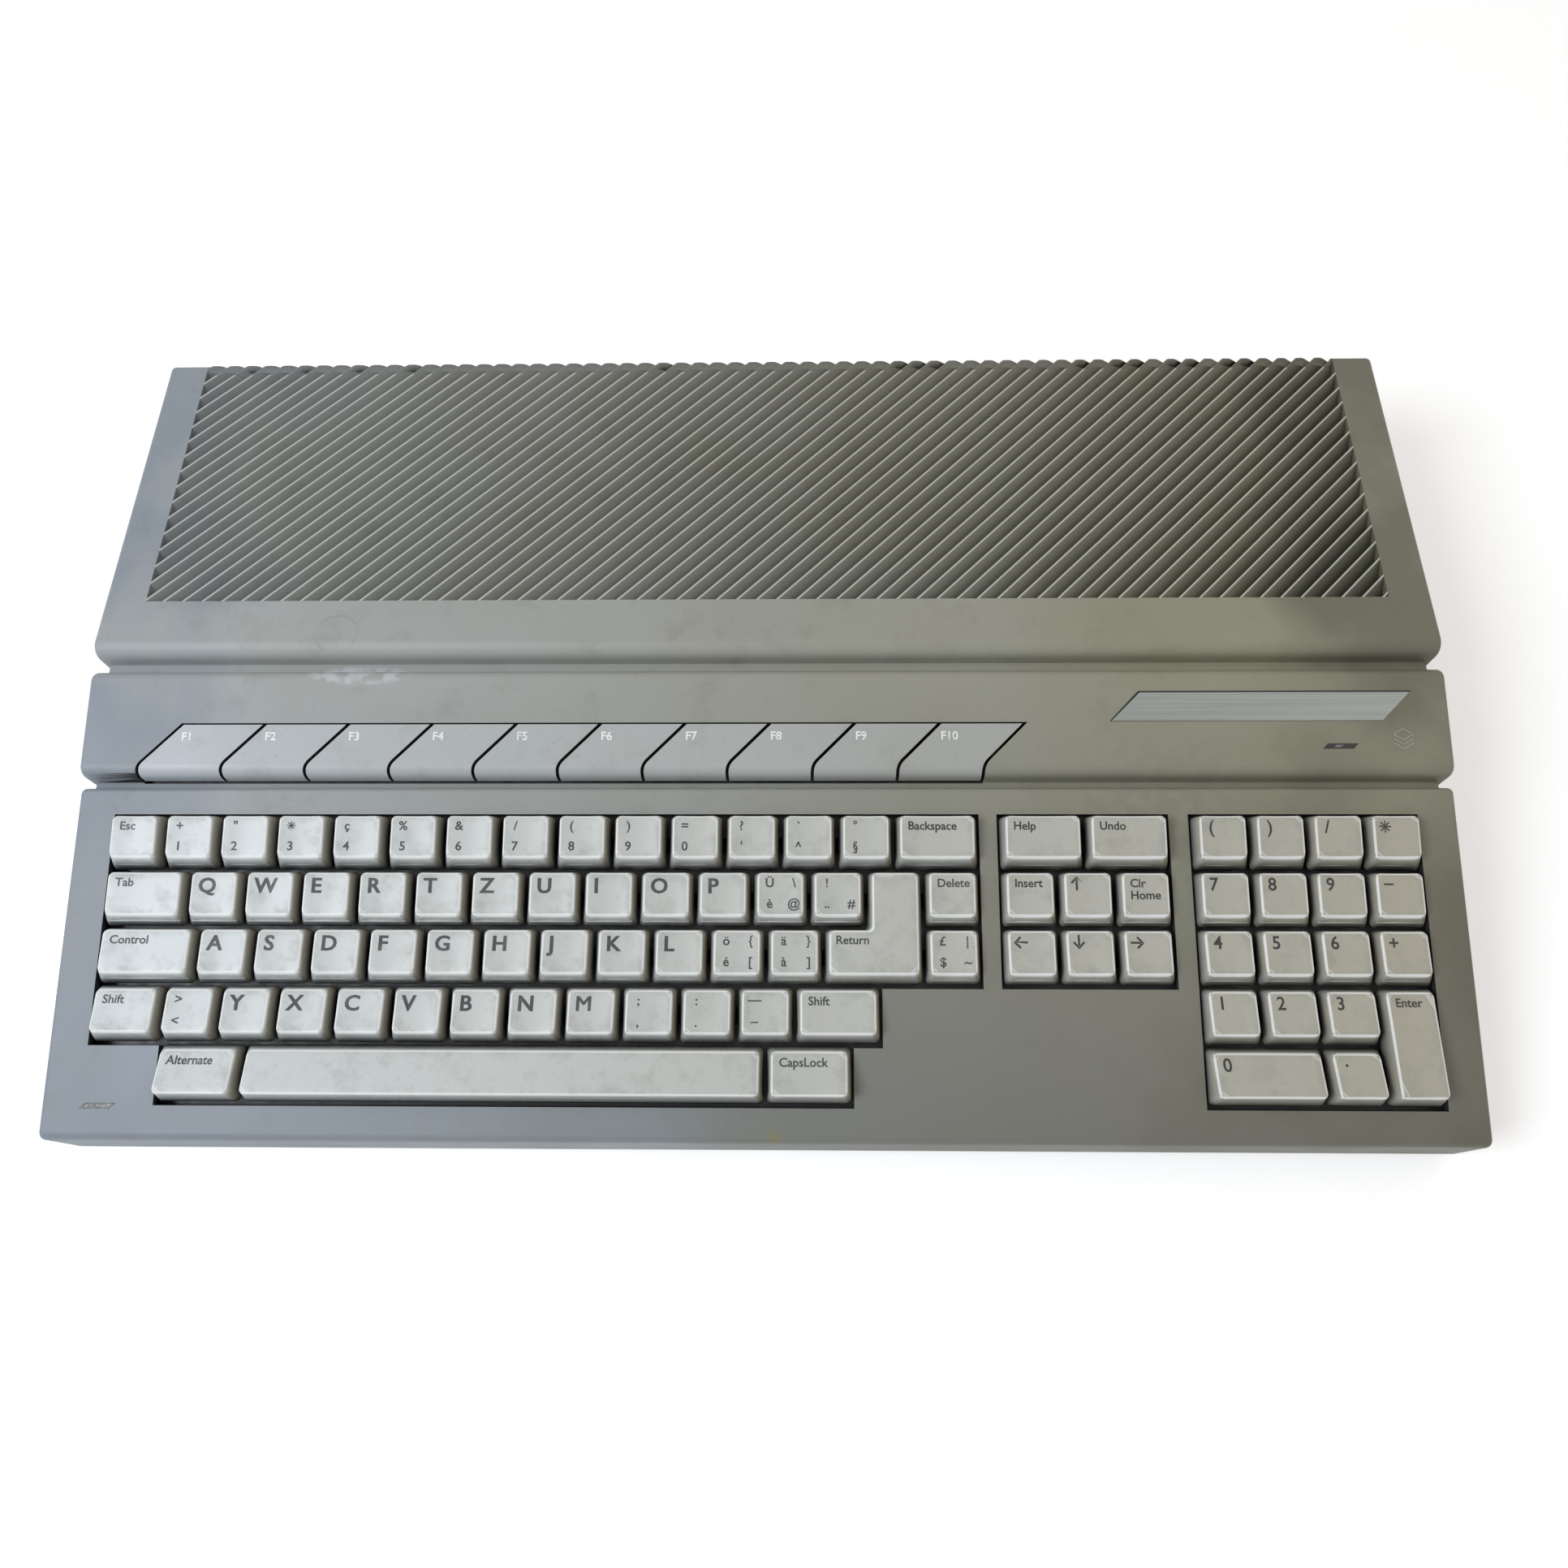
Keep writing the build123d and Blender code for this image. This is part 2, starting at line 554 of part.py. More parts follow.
def key_edges(y, rows):
    """Y and height of a key's top at its back edge and at its front edge."""
    row = round(1 - y / KEY_UNIT - rows / 2)
    half = (rows * KEY_UNIT - KEY_GAP) / 2
    last = row + rows - 1
    return ((y + half - KEY_BACK_INSETS[row], KEY_BACK_HEIGHTS[row]),
            (y - half + KEY_FRONT_INSETS[last], KEY_FRONT_HEIGHTS[last]))


def roof_height(edges):
    """Height of the hollow's roof, one wall under the lowest point of a top."""
    return min(z for _, z in edges) - KEY_DISH - KEY_WALL


def key_form(x0, x1, y0, y1, edges, top, wall=0):
    """A keycap's walls up to a height, drawn in by a wall's thickness for the hollow."""
    (back_y, back_z), (front_y, front_z) = edges
    back = (y1 - back_y) * (top - KEY_SKIRT_Z) / (back_z - KEY_SKIRT_Z)
    front = (front_y - y0) * (top - KEY_SKIRT_Z) / (front_z - KEY_SKIRT_Z)
    side = KEY_TOP_SIDE_INSET * (top - KEY_SKIRT_Z) / (max(back_z, front_z) - KEY_SKIRT_Z)
    return wedge(x0 + wall, x1 - wall, y0 + wall, y1 - wall, KEY_SKIRT_Z, top, side, front, back)


def key_blank(corners, edges):
    """The outer form of a keycap before its top is shaped."""
    return key_form(*corners, edges, max(z for _, z in edges) + THROUGH)


def key_room(corners, edges):
    """The hollow under a keycap's top."""
    return key_form(*corners, edges, roof_height(edges), KEY_WALL)


def key_stem(x, y, top):
    """The square stem that slides in the keyboard's frame."""
    half = STEM_SIZE / 2
    return box(x - half, x + half, y - half, y + half, STEM_END_Z, top)


def on_top(x, edges, sink=0):
    """The frame of a key's top: its middle, tilted from the back edge to the front edge."""
    (back_y, back_z), (front_y, front_z) = edges
    tilt = degrees(atan2(front_z - back_z, back_y - front_y))
    return Pos(x, (back_y + front_y) / 2, (back_z + front_z) / 2 - sink) * Rot(-tilt, 0, 0)


def dish(x, edges, width):
    """The shallow trough pressed into a key's top."""
    half = width / 2 - KEY_TOP_SIDE_INSET
    radius = (half * half + KEY_DISH * KEY_DISH) / (2 * KEY_DISH)
    trough = Pos(0, 0, radius) * Rot(90, 0, 0) * Cylinder(radius, 3 * KEY_UNIT)
    return on_top(x, edges, KEY_DISH) * trough


def flat_top(x, edges, width):
    """The tilted flat that ends a long bar, in place of a trough."""
    return on_top(x, edges) * Pos(0, 0, KEY_UNIT / 2) * Box(2 * width, 3 * KEY_UNIT, KEY_UNIT)


def keycap(x, y, units, rows):
    """One keycap in the deck's frame."""
    width = units * KEY_UNIT - KEY_GAP
    depth = rows * KEY_UNIT - KEY_GAP
    corners = (x - width / 2, x + width / 2, y - depth / 2, y + depth / 2)
    edges = key_edges(y, rows)
    shape = flat_top if units > LONG_KEY_UNITS else dish
    cap = key_blank(corners, edges) - shape(x, edges, width) - key_room(corners, edges)
    for stem_x, stem_y in stem_places(x, y, units):
        cap += key_stem(stem_x, stem_y, roof_height(edges))
    return cap


def return_keycap():
    """The Return key: a wide foot in the home row and a narrow head in the row behind."""
    half = KEY_GAP / 2
    front, back = -2 * KEY_UNIT + half, -half
    foot = (RETURN_LEFT + half, RETURN_RIGHT - half, front, -KEY_UNIT - half)
    head = (RETURN_STEP + half, RETURN_RIGHT - half, front, back)
    edges = key_edges(-KEY_UNIT, 2)
    foot_edges = (key_edges(-1.5 * KEY_UNIT, 1)[0], edges[1])
    cap = key_blank(foot, foot_edges) + key_blank(head, edges)
    cap -= flat_top(RETURN_STEM[0], edges, 2 * KEY_UNIT)
    cap -= key_room(foot, foot_edges) + key_room(head, edges)
    return cap + key_stem(*RETURN_STEM, roof_height(edges))


def key_group(places):
    """Keys of one node, each placed on the sloping deck."""
    made = {}
    caps = []
    for x, y, units, rows in places:
        if (y, units, rows) not in made:
            made[(y, units, rows)] = keycap(0, y, units, rows)
        caps.append(DECK * Pos(x, 0, 0) * made[(y, units, rows)])
    return caps


# ---- Function keys ---------------------------------------------------------------------------

def function_side(left_x, y_front):
    """One slanted side line: 45 degrees on the flat, then straight down the band's nose."""
    bend_x = left_x - (FUNCTION_BACK_Y - FUNCTION_BEND_Y)
    middle = (bend_x, FUNCTION_BEND_Y)
    return FilletPolyline((left_x, FUNCTION_BACK_Y), middle, (bend_x, y_front),
                          radius=FUNCTION_BEND_ROUND)


def function_outline(left_x, right_x, margin, y_front):
    """Outline of a slanted key, drawn in by a margin on all sides but the front."""
    left = function_side(left_x, y_front)
    right = function_side(right_x, y_front)
    back = Line(left @ 0, right @ 0)
    front = Line(left @ 1, right @ 1)
    face = make_face(left.edges() + right.edges() + back.edges() + front.edges())
    return offset(face, amount=-margin, kind=Kind.INTERSECTION) if margin else face


def function_row_solid(left_x, right_x, margin, z0, z1):
    """A slanted block in the deck's frame that runs out past the band's nose."""
    face = function_outline(left_x, right_x, margin, NOSE_Y - FUNCTION_RUN_OUT)
    return Pos(0, 0, z0) * extrude(face, amount=z1 - z0)


def function_key(index, band):
    """A flush key cut from the band's own form, hollow below, on one stem."""
    left_x = FUNCTION_LEFT_X + index * FUNCTION_PITCH
    right_x = left_x + FUNCTION_PITCH
    margin = FUNCTION_GAP / 2
    body = DECK * function_row_solid(left_x, right_x, margin, KEY_SKIRT_Z, BAND_Z + THROUGH)
    body = body & band
    room_z = BAND_Z - FUNCTION_WALL
    front = NOSE_Y + 2 * FUNCTION_WALL
    lean = FUNCTION_BACK_Y - FUNCTION_BEND_Y
    wall = margin + FUNCTION_WALL
    back = FUNCTION_BACK_Y - wall
    slip = wall * sqrt(2)
    near_x, far_x = left_x - lean + slip, right_x - lean - slip - FUNCTION_CORNER
    room = prism([(near_x, front), (far_x, front), (far_x, FUNCTION_BEND_Y),
                  (right_x - wall - slip, back), (left_x - wall + slip + FUNCTION_CORNER, back),
                  (near_x, FUNCTION_BEND_Y + FUNCTION_CORNER)],
                 KEY_SKIRT_Z - THROUGH, room_z)
    body -= DECK * room
    x, y = function_stem(index)
    half = STEM_SIZE / 2
    return body + DECK * box(x - half, x + half, y - half, y + half, STEM_END_Z, room_z)


def function_stem(index):
    """Place of a function key's stem in the deck's frame."""
    middle_y = (FUNCTION_BACK_Y + FUNCTION_BEND_Y) / 2
    x = FUNCTION_LEFT_X + (index + 0.5) * FUNCTION_PITCH - (FUNCTION_BACK_Y - middle_y)
    return x, middle_y


# ---- Case ------------------------------------------------------------------------------------

def round_sides(block, radius=SIDE_ROUND):
    """Rounds the top and upright edges at both side faces."""
    half = block.bounding_box().max.X
    edges = [e for e in block.edges()
             if abs(abs(e.center().X) - half) < 0.01 and e.center().Z > SEAM_Z + 0.01]
    return fillet(edges, radius)


def deck_block():
    """Front section: the keyboard deck."""
    corners = [(0, SEAM_Z), (0, DECK_FRONT_Z), (DECK_BACK_Y, deck_z(DECK_BACK_Y)), (DECK_BACK_Y, SEAM_Z)]
    return round_sides(section(corners, HALF_W, [(corners[1], DECK_FRONT_ROUND),
                                                 (corners[2], DECK_BACK_ROUND)]))


def band_block():
    """Middle section: the band with the function keys, a little proud of the deck."""
    front_z = deck_z(BAND_FRONT_Y) + BAND_STEP
    back_z = deck_z(BAND_BACK_Y) + BAND_STEP
    corners = [(BAND_FRONT_Y, SEAM_Z), (BAND_FRONT_Y, front_z), (BAND_BACK_Y, back_z),
               (BAND_BACK_Y, SEAM_Z)]
    return round_sides(section(corners, HALF_W, [(corners[1], BAND_NOSE_ROUND),
                                                 (corners[2], BAND_BACK_ROUND)]))


def rear_block():
    """Rear section: level on top, with a full round nose."""
    corners = [(REAR_FRONT_Y, SEAM_Z), (REAR_FRONT_Y, REAR_TOP_Z), (DEPTH, REAR_TOP_Z), (DEPTH, SEAM_Z)]
    return round_sides(section(corners, HALF_W, [(corners[1], REAR_NOSE_ROUND),
                                                 (corners[2], REAR_ROUND)]))


def groove_core():
    """What shows at the bottom of the two grooves, and in their notches at the sides."""
    front, middle = DECK_BACK_Y - GROOVE_SEAT, BAND_FRONT_Y + GROOVE_SEAT
    back, end = BAND_BACK_Y - GROOVE_SEAT, REAR_FRONT_Y + GROOVE_SEAT
    return section([(front, SEAM_Z), (front, GROOVE_1_Z), (middle, GROOVE_1_Z), (back, GROOVE_2_Z),
                    (end, GROOVE_2_Z), (end, SEAM_Z)], HALF_W - NOTCH)


def case_rooms():
    """The hollow inside the top case, one part for each section and one under the grooves."""
    down = WALL / DECK_COS
    low = SEAM_Z - THROUGH
    deck_end, band_end = DECK_BACK_Y - WALL, BAND_BACK_Y - WALL
    band_start, rear_start = BAND_FRONT_Y + WALL, REAR_FRONT_Y + WALL
    half = HALF_W - WALL
    deck = section([(WALL, low), (WALL, deck_z(WALL) - down), (deck_end, deck_z(deck_end) - down),
                    (deck_end, low)], half)
    band_low = deck_z(band_start) + BAND_STEP - down - BAND_NOSE_ROUND / 3
    flat_start = band_start + BAND_NOSE_ROUND / 2
    band = section([(band_start, low), (band_start, band_low),
                    (flat_start, deck_z(flat_start) + BAND_STEP - down),
                    (band_end, deck_z(band_end) + BAND_STEP - down), (band_end, low)], half)
    roof = REAR_TOP_Z - RIB_DEPTH - RIB_BACKING
    back = DEPTH - WALL
    rear = section([(rear_start, low), (rear_start, roof), (back, roof), (back, PANEL_TOP_Z + WALL),
                    (PANEL_Y - WALL, PANEL_TOP_Z + WALL), (PANEL_Y - WALL, low)], half)
    under_1, under_2 = GROOVE_1_Z - GROOVE_WALL, GROOVE_2_Z - GROOVE_WALL
    core_front, core_back = deck_end - THROUGH, rear_start + THROUGH
    core = section([(core_front, low), (core_front, under_1), (band_start + THROUGH, under_1),
                    (band_end - THROUGH, under_2), (core_back, under_2), (core_back, low)],
                   INNER_HALF_W)
    return [deck, band, rear, core]


def rib_window():
    """The space that the rib field fills, brought down in two flats where it rolls over the back."""
    back, roll = DEPTH - RIB_REAR_SETBACK, RIB_REAR_ROUND
    floor = REAR_TOP_Z - RIB_DEPTH
    part = roll * (1 - sqrt(0.5))
    return section([(RIB_FRONT_Y, floor), (RIB_FRONT_Y, REAR_TOP_Z), (back - roll, REAR_TOP_Z),
                    (back - part, REAR_TOP_Z - part), (back, REAR_TOP_Z - roll), (back, floor)],
                   RIB_HALF_WIDTH)


def rib_teeth():
    """The saw-tooth ribs: a narrow ridge, a long slope down and a steep drop at the back."""
    floor = REAR_TOP_Z - RIB_DEPTH
    root = floor - RIB_BACKING / 4
    tooth = [(-RIB_STEEP, floor), (0, REAR_TOP_Z), (RIB_RIDGE, REAR_TOP_Z)]
    reach = RIB_HALF_WIDTH + DEPTH - RIB_FRONT_Y
    count = int(reach * sqrt(2) / RIB_PITCH) + 2
    end = count * RIB_PITCH / 2 + THROUGH
    profile = [(-end, root), (-end, floor)]
    for i in range(count):
        start = (i - count / 2) * RIB_PITCH
        profile += [(start + t, z) for t, z in tooth]
    profile += [(end, floor), (end, root)]
    comb = make_face(Polyline(*profile, close=True))
    field = extrude(Plane.XZ * comb, amount=reach, both=True)
    return Pos(0, (RIB_FRONT_Y + DEPTH) / 2, 0) * Rot(0, 0, -RIB_ANGLE) * field


def opening_outlines():
    """Outlines of the three key openings in the deck's frame."""
    side = OPENING_MARGIN
    left = MAIN_BLOCK_X - side
    back = KEY_UNIT + side
    shift_end = MAIN_BLOCK_X + SPACE_ROW_START * KEY_UNIT - side
    edges = [MAIN_BLOCK_X + units * KEY_UNIT + side
             for units in (SPACE_ROW_END, SHIFT_ROW_END, MAIN_BLOCK_UNITS)]
    fronts = [KEY_UNIT * (1 - row) - OPENING_FRONT_MARGIN for row in (3, 4, 5)]
    main = [(left, back), (left, fronts[1]), (shift_end, fronts[1]), (shift_end, fronts[2]),
            (edges[0], fronts[2]), (edges[0], fronts[1]), (edges[1], fronts[1]),
            (edges[1], fronts[0]), (edges[2], fronts[0]), (edges[2], back)]
    cursor_right = CURSOR_BLOCK_X + CURSOR_BLOCK_UNITS * KEY_UNIT + side
    number_right = NUMBER_BLOCK_X + NUMBER_BLOCK_UNITS * KEY_UNIT + side
    return [main, rectangle(CURSOR_BLOCK_X - side, cursor_right, fronts[0], back),
            rectangle(NUMBER_BLOCK_X - side, number_right, fronts[2], back)]


def clipped_slot(width, height, cut, depth):
    """A rectangle with its corners taken off, standing on X and Z and running both ways along Y."""
    x, z = width / 2, height / 2
    outline = [(x, cut - z), (x, z - cut), (x - cut, z), (cut - x, z), (-x, z - cut), (-x, cut - z),
               (cut - x, -z), (x - cut, -z)]
    return extrude(Plane.XZ * make_face(Polyline(*outline, close=True)), amount=depth, both=True)


def d_outline(width, height, depth):
    """The keystone outline of a D-shaped connector, narrow side down, running along Y."""
    lean = height * tan(radians(D_LEAN))
    half = width / 2
    face = make_face(Polyline((-half, height / 2), (half, height / 2), (half - lean, -height / 2),
                              (-half + lean, -height / 2), close=True))
    face = chamfer(face.vertices(), D_SHELL_CORNER)
    return extrude(Plane.XZ * face, amount=depth, both=True)


def d_hole(x, width, z):
    """The hole that a D connector's shell comes out of."""
    hole = d_outline(width - D_SHELL_MARGIN + 2 * PORT_CLEAR, D_SHELL_HEIGHT + 2 * PORT_CLEAR, WALL)
    return Pos(x, PANEL_Y - WALL / 2, z) * hole


def rear_holes():
    """Everything cut through the rear panel."""
    holes = [d_hole(x, w, CONNECTOR_Z) for x, w in
             ((SERIAL_X, D_25_WIDTH), (PRINTER_X, D_25_WIDTH), (HARD_DISK_X, D_19_WIDTH))]
    din_hole = faceted_socket(DIN_DIAMETER / 2 + PORT_CLEAR, -2 * WALL, WALL)
    for x in (FLOPPY_DIN_X, MONITOR_DIN_X):
        holes.append(Pos(x, PANEL_Y, DIN_Z) * din_hole)
    frame = 2 * SWITCH_FRAME
    for x, width, height in ((INLET_X, INLET_BODY_W, INLET_BODY_H),
                             (SWITCH_X, ROCKER_WIDTH + frame, ROCKER_LENGTH + frame),
                             (RESET_X, RESET_SIZE, RESET_SIZE)):
        hole = clipped_slot(width + 2 * PORT_CLEAR, height + 2 * PORT_CLEAR, PORT_CLEAR, 2 * WALL)
        holes.append(Pos(x, PANEL_Y, REAR_HIGH_Z) * hole)
    return holes


def side_holes():
    """Cartridge slot and two DIN holes on the left, the drive's opening on the right."""
    left, inner = -HALF_W - THROUGH, -HALF_W + 2 * WALL
    half = CARTRIDGE_LENGTH / 2
    holes = [box(left, inner, CARTRIDGE_Y - half, CARTRIDGE_Y + half, MAIN_BOARD_TOP + PORT_CLEAR,
                 MAIN_BOARD_TOP + CARTRIDGE_HEIGHT)]
    din_hole = faceted_socket(DIN_DIAMETER / 2 + PORT_CLEAR, -2 * WALL, WALL)
    for y in (MIDI_IN_Y, MIDI_OUT_Y):
        holes.append(Pos(-HALF_W, y, DIN_Z) * Rot(0, 0, 90) * din_hole)
    margin = BEZEL_INSET - PORT_CLEAR
    holes.append(box(INNER_HALF_W - THROUGH, HALF_W + THROUGH, DRIVE_FRONT_Y + margin,
                     DRIVE_BACK_Y - margin, DRIVE_BASE_Z + margin, DRIVE_TOP_Z - margin))
    return holes


def screw_posts(low, high, radius):
    """Round posts at the case screws."""
    return [faceted(radius, low, high, x, y) for x, y in SCREW_PLACES]


def top_case(deck, band, rear):
    """The upper shell, with every opening that the keys, lamps and connectors need."""
    outer = deck + band + rear + groove_core()
    window = rib_window()
    floor = REAR_TOP_Z - RIB_DEPTH
    roll = rectangle(DEPTH - RIB_RUN_OUT, DEPTH + THROUGH, floor, REAR_TOP_Z + THROUGH)
    case = outer - window - section(roll, RIB_HALF_WIDTH)
    case += rib_teeth() & window
    for room in case_rooms():
        case -= room
    for post in screw_posts(SEAM_Z, REAR_TOP_Z, POST_DIAMETER / 2):
        case += post & outer
    for bore in screw_posts(SEAM_Z - THROUGH, SCREW_TIP_Z + SCREW_TIP_GAP,
                            SCREW_DIAMETER / 2 + SCREW_BITE):
        case -= bore
    case -= box(-PANEL_HALF_WIDTH, PANEL_HALF_WIDTH, PANEL_Y, DEPTH + THROUGH, SEAM_Z - THROUGH,
                PANEL_TOP_Z)
    for outline in opening_outlines():
        case -= DECK * prism(outline, -2 * WALL, WALL)
    case -= function_opening()
    for place in (POWER_LAMP, DRIVE_LAMP):
        case -= DECK * slanted(LAMP_LENGTH, LAMP_HEIGHT, *place, -2 * WALL, 3 * WALL)
    case -= DECK * slanted(PLATE_LENGTH, PLATE_HEIGHT, *PLATE, BAND_Z - PLATE_SINK, 3 * WALL)
    for hole in rear_holes() + side_holes():
        case -= hole
    return case - box(RECESS_LEFT, HALF_W + THROUGH, RECESS_FRONT, RECESS_BACK, SEAM_Z - THROUGH,
                      RECESS_TOP)


def function_opening():
    """One slanted opening for the whole row of function keys, open at the band's front."""
    margin = FUNCTION_GAP / 2
    cut = function_row_solid(FUNCTION_LEFT_X - margin, FUNCTION_RIGHT_X + margin, 0, FRAME_TOP_Z,
                             4 * WALL)
    behind = BAND_FRONT_Y - KEY_CLEAR
    keep = box(-HALF_W, HALF_W, behind, BAND_BACK_Y, SEAM_Z, REAR_TOP_Z)
    return (DECK * cut) & keep


def tray_blank():
    """The tray's walls and floor; the floor stops at the rear panel but for the two corners."""
    tray = box(-HALF_W, HALF_W, 0, DEPTH, FOOT_H, SEAM_Z)
    tray = fillet(tray.edges().filter_by(Axis.Z), SIDE_ROUND)
    tray = chamfer(tray.faces().sort_by(Axis.Z)[0].edges(), SIDE_ROUND / 2)
    floor, top = FOOT_H + WALL, SEAM_Z + THROUGH
    inner, outer = PANEL_HALF_WIDTH + WALL, HALF_W - WALL
    tray -= box(-outer, outer, WALL, PANEL_Y - WALL, floor, top)
    for x0, x1 in ((-outer, -inner), (inner, outer)):
        tray -= box(x0, x1, PANEL_Y - WALL - THROUGH, DEPTH - WALL, floor, top)
    return tray


def recess_hood():
    """Walls and roof around the controller recess, kept inside the top case's two widths."""
    left, front = RECESS_LEFT - RECESS_WALL, RECESS_FRONT - RECESS_WALL
    top = RECESS_TOP + RECESS_WALL
    below_deck = box(left, HALF_W - WALL - SHELL_CLEAR, front, DECK_BACK_Y - WALL - SHELL_CLEAR,
                     FOOT_H + THROUGH, top)
    below_groove = box(left, INNER_HALF_W - SHELL_CLEAR, front, RECESS_BACK + RECESS_WALL,
                       FOOT_H + THROUGH, top)
    return below_deck + below_groove


def bottom_case():
    """The lower tray with its screw bosses, board posts and the controller recess."""
    tray = tray_blank()
    for post in (screw_posts(FOOT_H + WALL / 2, SEAM_Z, POST_DIAMETER / 2) + board_posts()
                 + keyboard_posts()):
        tray += post
    for hole in (screw_posts(0, SEAM_Z + THROUGH, SCREW_DIAMETER / 2 + SCREW_PASS)
                 + screw_posts(0, FOOT_H + SCREW_SEAT + SCREW_HEAD_H, SCREW_HEAD / 2 + SCREW_SEAT)):
        tray -= hole
    tray += recess_hood()
    tray -= box(RECESS_LEFT, HALF_W + THROUGH, RECESS_FRONT, RECESS_BACK, 0, RECESS_TOP)
    for y in CONTROLLER_Y:
        tray -= controller_place(y) * d_outline(D_9_WIDTH - D_SHELL_MARGIN + 2 * PORT_CLEAR,
                                                D_SHELL_HEIGHT + 2 * PORT_CLEAR, 2 * RECESS_WALL)
    return tray


def controller_place(y):
    """Turns a connector so that it faces right out of the recess wall."""
    return Pos(RECESS_LEFT, y, CONTROLLER_Z) * Rot(0, 0, -90)


def board_posts():
    """Posts under the main board, the power supply and the drive."""
    base = FOOT_H + WALL / 2
    inset, reach = BOARD_POST_INSET, SUPPLY_POST_INSET
    board = [(x, y) for x in (MAIN_BOARD_LEFT + inset, BOARD_POST_MIDDLE_X, MAIN_BOARD_RIGHT - inset)
             for y in (MAIN_BOARD_FRONT + inset, MAIN_BOARD_BACK - inset)]
    supply = [(x, y) for x in (SUPPLY_LEFT + reach, SUPPLY_RIGHT - reach)
              for y in (SUPPLY_FRONT + reach, PANEL_Y - WALL - reach)]
    drive = [(x, y) for x in (DRIVE_LEFT + DRIVE_POST_INSET, DRIVE_RIGHT - 2 * DRIVE_POST_INSET)
             for y in (DRIVE_FRONT_Y + DRIVE_POST_INSET, DRIVE_BACK_Y - DRIVE_POST_INSET)]
    posts = [faceted(POST_DIAMETER / 2, base, MAIN_BOARD_Z, x, y) for x, y in board + supply]
    return posts + [faceted(POST_DIAMETER / 2, base, DRIVE_BASE_Z, x, y) for x, y in drive]


def keyboard_posts():
    """Slanting-topped posts that carry the keyboard's circuit board."""
    reach = 2 * DEPTH
    under = DECK * box(-reach, reach, -reach, reach, KEY_BOARD_BASE_Z - reach, KEY_BOARD_BASE_Z)
    front = [(x, KEYBOARD_POST_END_MARGIN) for x in KEYBOARD_POST_X]
    back_y = BAND_FRONT_Y + KEYBOARD_POST_END_MARGIN
    back = [(x, back_y) for x in KEYBOARD_POST_X[:KEYBOARD_REAR_POSTS]]
    return [faceted(POST_DIAMETER / 2, FOOT_H + WALL / 2, REAR_TOP_Z, x, y) & under
            for x, y in front + back]


# ---- Keyboard unit ---------------------------------------------------------------------------

def guide_slots():
    """The slots that guide the stems: one for each run of keys, one for each key on its own."""
    runs = {("return_key", RETURN_STEM[1]): [RETURN_STEM[0]]}
    for i in range(FUNCTION_KEY_COUNT):
        x, y = function_stem(i)
        runs.setdefault(("function_keys", y), []).append(x)
    for name, places in KEY_GROUPS.items():
        for x, y, units, _ in places:
            runs.setdefault((name, y), []).extend(stem_x for stem_x, _ in stem_places(x, y, units))
    half = STEM_SIZE / 2 + STEM_CLEAR
    return [box(min(xs) - half, max(xs) + half, y - half, y + half, FRAME_BASE_Z - THROUGH,
                FRAME_TOP_Z + THROUGH) for (_, y), xs in runs.items()]


def keyboard_outline(draw_in=0.0):
    """Outline of the keyboard unit: the key field and the strip below the function keys."""
    left = MAIN_BLOCK_X - FRAME_OVERLAP + draw_in
    right = NUMBER_BLOCK_X + NUMBER_BLOCK_UNITS * KEY_UNIT + FRAME_OVERLAP - draw_in
    front = -4 * KEY_UNIT - FRAME_END_OVERLAP + draw_in
    middle = KEY_UNIT + FRAME_END_OVERLAP - draw_in
    back = FUNCTION_BACK_Y + EXTENSION_BACK_MARGIN - draw_in
    strip_left = FUNCTION_LEFT_X - EXTENSION_SIDE_MARGIN + draw_in
    strip_right = DRIVE_LEFT - EXTENSION_DRIVE_GAP - draw_in
    return [(left, front), (right, front), (right, middle), (strip_right, middle),
            (strip_right, back), (strip_left, back), (strip_left, middle), (left, middle)]


def keyboard_frame():
    """The plate that guides the stems, with a rim around it that stands on the board."""
    plate = prism(keyboard_outline(), KEY_BOARD_TOP_Z, FRAME_TOP_Z)
    plate -= prism(keyboard_outline(FRAME_RIM), KEY_BOARD_TOP_Z - THROUGH, FRAME_BASE_Z)
    return DECK * (plate - guide_slots())


def dome_mat():
    """The rubber mat between the stems and the board."""
    return DECK * prism(keyboard_outline(FRAME_RIM + MAT_CLEAR), KEY_BOARD_TOP_Z, MAT_TOP_Z)


def keyboard_circuit_board():
    """The contact board that closes the keyboard from below."""
    return DECK * prism(keyboard_outline(), KEY_BOARD_BASE_Z, KEY_BOARD_TOP_Z)


# ---- Boards and what stands on them ----------------------------------------------------------

def main_circuit_board():
    """The main board across the rear left of the case, with a tab behind the disk drive."""
    corners = [(MAIN_BOARD_LEFT, MAIN_BOARD_FRONT), (MAIN_BOARD_RIGHT, MAIN_BOARD_FRONT),
               (MAIN_BOARD_RIGHT, BOARD_TAB_FRONT), (BOARD_TAB_RIGHT, BOARD_TAB_FRONT),
               (BOARD_TAB_RIGHT, MAIN_BOARD_BACK), (MAIN_BOARD_LEFT, MAIN_BOARD_BACK)]
    return prism(corners, MAIN_BOARD_Z, MAIN_BOARD_TOP)


def chip(x, y, length, width, height):
    """A plastic chip package with its two bevelled long sides, placed from the board's corner."""
    half, flat = width / 2, width / 2 - CHIP_BEVEL
    outline = [(-half, 0), (half, 0), (half, height - CHIP_BEVEL), (flat, height), (-flat, height),
               (-half, height - CHIP_BEVEL)]
    body = extrude(Plane.YZ * make_face(Polyline(*outline, close=True)), amount=length / 2, both=True)
    return Pos(MAIN_BOARD_LEFT + x, MAIN_BOARD_FRONT + y, MAIN_BOARD_TOP) * body


